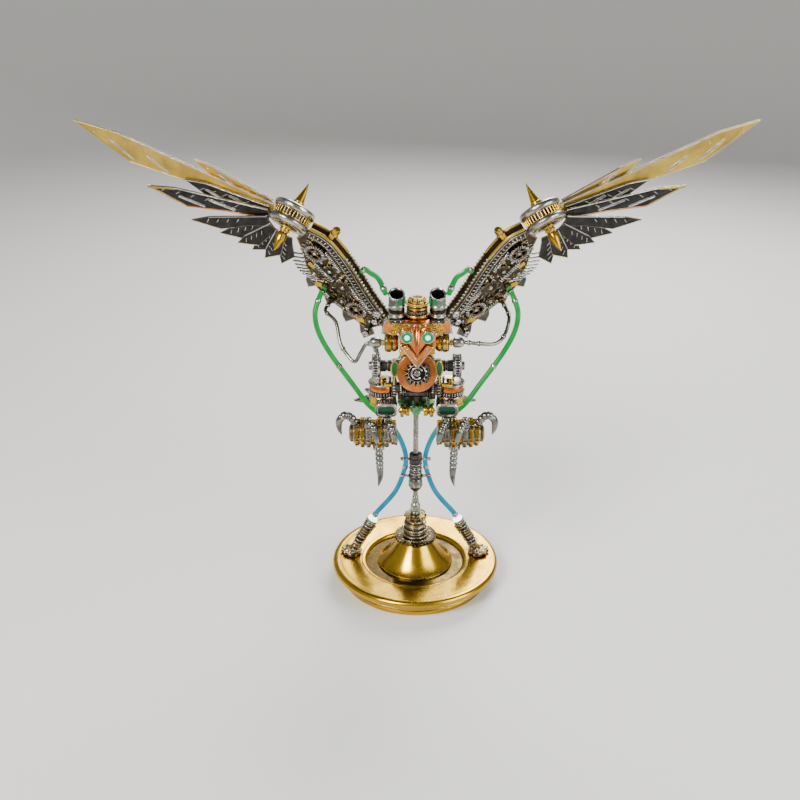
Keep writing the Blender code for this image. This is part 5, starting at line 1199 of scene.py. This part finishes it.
level = base_level + 0.35
rows = (("second_feather", 22, 87.8, 14, 7, 13.1, ((0.6, 0.78, 5.5, 2.2), (0.38, 0.56, 2.6, -0.4)), BLACK_STEEL),
        ("third_feather", 12.3, 63.8, 12, 6, 13.1, ((0.62, 0.8, 4.6, 1.6), (0.4, 0.58, 2.4, -0.2)), BLACK_STEEL),
        ("long_feather", 6.3, 130.9, 20, 8, 11.1, ((0.56, 0.663, 8, 2.4), (0.715, 0.837, 9.8, 2.4)), FEATHER_GOLD),
        ("upper_feather", -2.6, 60.7, 10, 6, 13.1, ((0.55, 0.75, 2.6, 0.2),), FEATHER_GOLD))
for name, angle, length, width, root_width, root, slots, finish in rows:
    level += FAN_STEP
    spin = radians(angle)
    edge = spun(feather_edge(length, root, width, root_width), spin)
    slits = [spun(slot_edge(start * length, end * length, low, high), spin) for start, end, low, high in slots]
    plate(work, [edge] + slits, level - SHEET_HALF, level + SHEET_HALF, wing)
    fitted(name + "_blade", work, finish, (name,), pair=True)
    under = (level - 0.56, level - 0.35)
    over = (level + 0.35, level + 0.55)
    rubbed_edges(gold_edges, edge, (0, 1, 2, 3, 4), 0.45, *over, wing)
    for slit in slits:
        rubbed_edges(steel_edges_and_glints, slit, (0, 1, 2, 3), -0.34, *under, wing)
    if name == "second_feather":
        rubbed_edges(steel_edges_and_glints, edge, (0,), 0.5, *under, wing)
        rubbed_edges(gold_edges, edge, (1, 2), 1.2, *under, wing)
        rubbed_edges(copper_edges, edge, (3, 4), 0.8, *under, wing)
        # Bright steel dashes: painted highlights of the feather's slots.
        glint_dashes(steel_edges_and_glints, 0.3 * length, 0.92 * length, -1.9, -1.3, 6, 3.6, 0.3, 0.7, *under, wing, spin)
    elif name == "third_feather":
        rubbed_edges(steel_edges_and_glints, edge, (0, 1), 0.42, *under, wing)
        rubbed_edges(steel_edges_and_glints, edge, (3, 4), 0.36, *under, wing)
        # Bright steel dashes: painted highlights of the feather's slots.
        glint_dashes(steel_edges_and_glints, 0.34 * length, 0.86 * length, -1.6, 1, 5, 4.2, 0.3, 0.8, *under, wing, spin)
    else:
        rubbed_edges(steel_edges_and_glints, edge, (0,), 0.85, *under, wing)
        rubbed_edges(gold_edges, edge, (1, 2, 3, 4), 0.4, *under, wing)
        spots = ((0.765, 0.3), (0.907, 2.3), (0.765, 12)) if name == "long_feather" else ((0.4, 1), (0.86, 0.6))
        for share, across in spots:
            x, y = spun([(share * length, across)], spin)[0]
            turned(steel_edges_and_glints, [(0, 0), (0.7, 0), (0.55, 0.3), (0, 0.35)],
                   wing @ moved((x, y, under[1])) @ Matrix.Rotation(pi, 4, "X"), 14)
    a, b = spun([(root + 3, -0.1 * width), (0.95 * length, -0.02 * width)], spin)
    strip(gold_edges, a, b, 0.4, *over, wing)
fitted("feather_gilt_edges", gold_edges, FEATHER_GOLD, pair=True)
fitted("feather_steel_edges_and_glints", steel_edges_and_glints, SILVER_STEEL, pair=True)
fitted("feather_copper_edges", copper_edges, COPPER, pair=True)

# ---- the arm feathers
# Four short dark feathers stand up behind each arm, riveted to a strip on the web.
trim = bmesh.new()
FEATHER_GAP = 0.3
level = WEB_MIDDLE + WEB_HALF + FEATHER_GAP + SHEET_HALF
for index in range(4):
    share = 0.36 + 0.17 * index
    x, y = arm_point(share, 11)
    spin = radians(96 + 4 * index)
    edge = [(x + a, y + b) for a, b in spun(feather_edge(26, 0, 10, 9), spin)]
    low = level - SHEET_HALF + 0.35 * (index % 2)
    plate(work, [edge], low, low + 2 * SHEET_HALF, wing)
    rubbed_edges(trim, edge, (0, 1, 2, 3), 0.45, low + 0.75, low + 0.95, wing)
    rubbed_edges(trim, edge, (0, 1, 2, 3), 0.45, low - 0.15, low + 0.05, wing)
    a, b = [(x + p, y + q) for p, q in spun([(2, 0), (24.5, 0)], spin)]
    strip(trim, a, b, 0.5, low + 0.75, low + 1, wing)
plate(work, [[arm_point(0.3, 8), arm_point(0.94, 8), arm_point(0.94, 12), arm_point(0.3, 12)]],
      level - SHEET_HALF, level + 2 * SHEET_HALF, wing)
fitted("arm_feather_plates", work, GUNMETAL, ("arm_feathers",), pair=True)
for index in range(12):
    bead(trim, wing @ arm_point(0.33 + 0.05 * index, 10, level + 0.85), 0.6, 1)
fitted("arm_feather_trim", trim, AGED_BRONZE, pair=True)

# ---- the light tubes
# Stiff glass tubes glow green, and cyan where they leave the lamps. Each long one runs up behind the pole's
# crossbars and out under the wing, and a short one links the wing with the goggle. Steel ferrules hold their ends.


def sleeves(work, route, places, bore, end, waist, half, short, steps):
    """Steel sleeves round a tube, at chosen points of its route."""
    for index in places:
        index = min(index, len(route) - 2)
        turned(work, [(bore, -half), (end, -half), (waist, -short), (waist, short), (end, half), (bore, half)],
               aimed(route[index], route[index + 1] - route[index - 1]), steps, closed=True)


TUBE_GLOW = glowing("tube_glow_glass", "green_glow", (0, 0.3, 0.56), (0, 0.38, 0.035), 1, 88, 114)
CROWN_GLOW = glowing("crown_tube_glass", "green_glow", (0, 0.36, 0.04), (0, 0.38, 0.06), 1, 190, 205)
SOCKET_LENGTH = 4.5
TUBE_GAP = 0.48
under_arm = WEB_MIDDLE - WEB_HALF - SOCKET_LENGTH - TUBE_GAP
wing_spot = wing @ arm_point(0.53, 14, under_arm)
wing_way = wing @ arm_point(0.53, 14, under_arm - 7)
lamp_end = lamp_foot + lean * (BULB_START + BULB_LENGTH + SEAT_GAP)
points = [lamp_end, lamp_end + lean * 4, Vector((12.8, 4.2, 56.54)), Vector((7.4, 3.35, 70.54)),
          Vector((5.9, 2.65, 82.11)), Vector((9.5, 1.5, 95.11)), body(15, -4, -5),
          body(21.5, -7.5, 3.4), body(28.6, -8, 10.5), body(37, -5, 21.5),
          body(49.5, -1, 38.5), body(56.4, 1.5, 51.5), body(58.2, 4, 62),
          wing_way, wing_spot]
light_route = smooth_route(points, 1.6)
swept(work, light_route, 1.55, 20)
fitted("light_tube_glass", work, TUBE_GLOW, ("light_tube",), pair=True)
sleeves(work, light_route, (1, 26, 52, 78, 104, len(light_route) - 3), 1.5, 1.75, 1.85, 0.9, 0.6, 24)
fitted("light_tube_ferrules", work, SILVER_STEEL, pair=True)
goggle_side = body(GOGGLE_ACROSS + GOGGLE_RADIUS + 1.3, -14, head_top + 13)
crown_route = smooth_route([wing @ arm_point(0.55, -12.5, WEB_MIDDLE), wing @ arm_point(0.55, -16, WEB_MIDDLE),
                            body(26, 0.5, 87), body(21.5, -6, 85.8), goggle_side], 1.2)
swept(work, crown_route, 1.55, 20)
fitted("crown_tube_glass_piece", work, CROWN_GLOW, ("crown_tube",), pair=True)
sleeves(work, crown_route, (2, len(crown_route) - 4), 1.5, 1.8, 1.95, 1.2, 0.8, 24)
fitted("crown_tube_ferrules", work, SILVER_STEEL, pair=True)

# ---- the silver pipes
# A bent steel pipe on each side runs from the wing: the left one down to the side wheel's rim, and the right one
# to the ear's knob. Each ends in a collar.
spot = wing @ arm_point(0.65, 19, under_arm)
way = wing @ arm_point(0.65, 19, under_arm - 7)
mirror = Matrix.Scale(-1, 4, (1, 0, 0))
left = [mirror @ spot, mirror @ way]
left += [body(*p) for p in ((-46.6, 6, 56), (-43.8, -2, 46), (-39.5, -6, 39.9), (-35.2, -9, 37.3),
                            (-31.7, -10, 43.5), (-28.5, -10, 48.6), (-24.8, -10, 47.4), (-22.1, -10, 42.7))]
right = [spot, way] + [body(*p) for p in ((53.4, 6, 58), (51.4, 0, 52.4), (47.5, -6, 48.8), (42.8, -9, 48),
                                          (35.9, -12, 49.4), (27.1, -14, head_low + EAR_RISE))]
for name, node, points in (("left_pipe", "silver_tube_left", left), ("right_pipe", "silver_tube_right", right)):
    route = smooth_route(points, 1.2)
    swept(work, route, 1.05, 16)
    sleeves(work, route, (2, 8, len(route) // 2, len(route) - 8, len(route) - 3), 0.9, 1.35, 1.5, 0.8, 0.4, 20)
    fitted(name, work, SMOKED_STEEL, (node,))

# ---- floor, light and camera
# A plain pale floor that curves up all round, three large soft lamps and a pale sky. The camera looks down at the
# bird from the front at the photograph's angle.
floor_look, tree, shader = shaded("pale_floor")
shader.inputs["Base Color"].default_value = (0.74, 0.73, 0.71, 1)
shader.inputs["Roughness"].default_value = 0.7
FLAT, BEND, WALL = 1.5, 0.8, 2.6
curve = [(FLAT + BEND * sin(pi / 2 * i / 12), BEND - BEND * cos(pi / 2 * i / 12)) for i in range(1, 13)]
section = [(0, 0), (FLAT, 0)] + curve + [(FLAT + BEND, WALL)]
turned(work, section, steps=96)
floor_mesh = bpy.data.meshes.new("studio_floor")
work.to_mesh(floor_mesh)
work.free()
floor_mesh.materials.append(floor_look)
floor_mesh.shade_smooth()
floor = bpy.data.objects.new("studio_floor", floor_mesh)
bpy.context.scene.collection.objects.link(floor)

world = bpy.data.worlds.new("studio")
world.use_nodes = True
world.node_tree.nodes["Background"].inputs["Color"].default_value = (0.55, 0.6, 0.64, 1)
world.node_tree.nodes["Background"].inputs["Strength"].default_value = 0.32
bpy.context.scene.world = world
for name, at, target, size, power, colour in (
        ("key_light", (-0.55, -0.75, 0.85), (0, 0, 0.16), 0.45, 20, (1, 0.97, 0.92)),
        ("fill_light", (0.75, -0.5, 0.5), (0, 0, 0.14), 0.6, 9, (0.9, 0.96, 1)),
        ("back_light", (0.25, 0.8, 0.8), (0, 0, 0.18), 0.6, 16, (1, 0.98, 0.95))):
    data = bpy.data.lights.new(name, "AREA")
    data.size = size
    data.energy = power
    data.color = colour
    lamp = bpy.data.objects.new(name, data)
    lamp.location = at
    lamp.rotation_euler = (Vector(target) - Vector(at)).to_track_quat("-Z", "Y").to_euler()
    bpy.context.scene.collection.objects.link(lamp)

camera_data = bpy.data.cameras.new("camera")
CAMERA_LENS = 46.8
SENSOR_WIDTH = 36
LOOKS_DOWN = 24.3
camera_data.lens = CAMERA_LENS
camera_data.sensor_width = SENSOR_WIDTH
camera = bpy.data.objects.new("camera", camera_data)
camera.location = (-0.0095, -0.56, 0.374)
camera.rotation_euler = (radians(90 - LOOKS_DOWN), 0, 0)
bpy.context.scene.collection.objects.link(camera)
bpy.context.scene.camera = camera

bpy.context.view_layer.update()
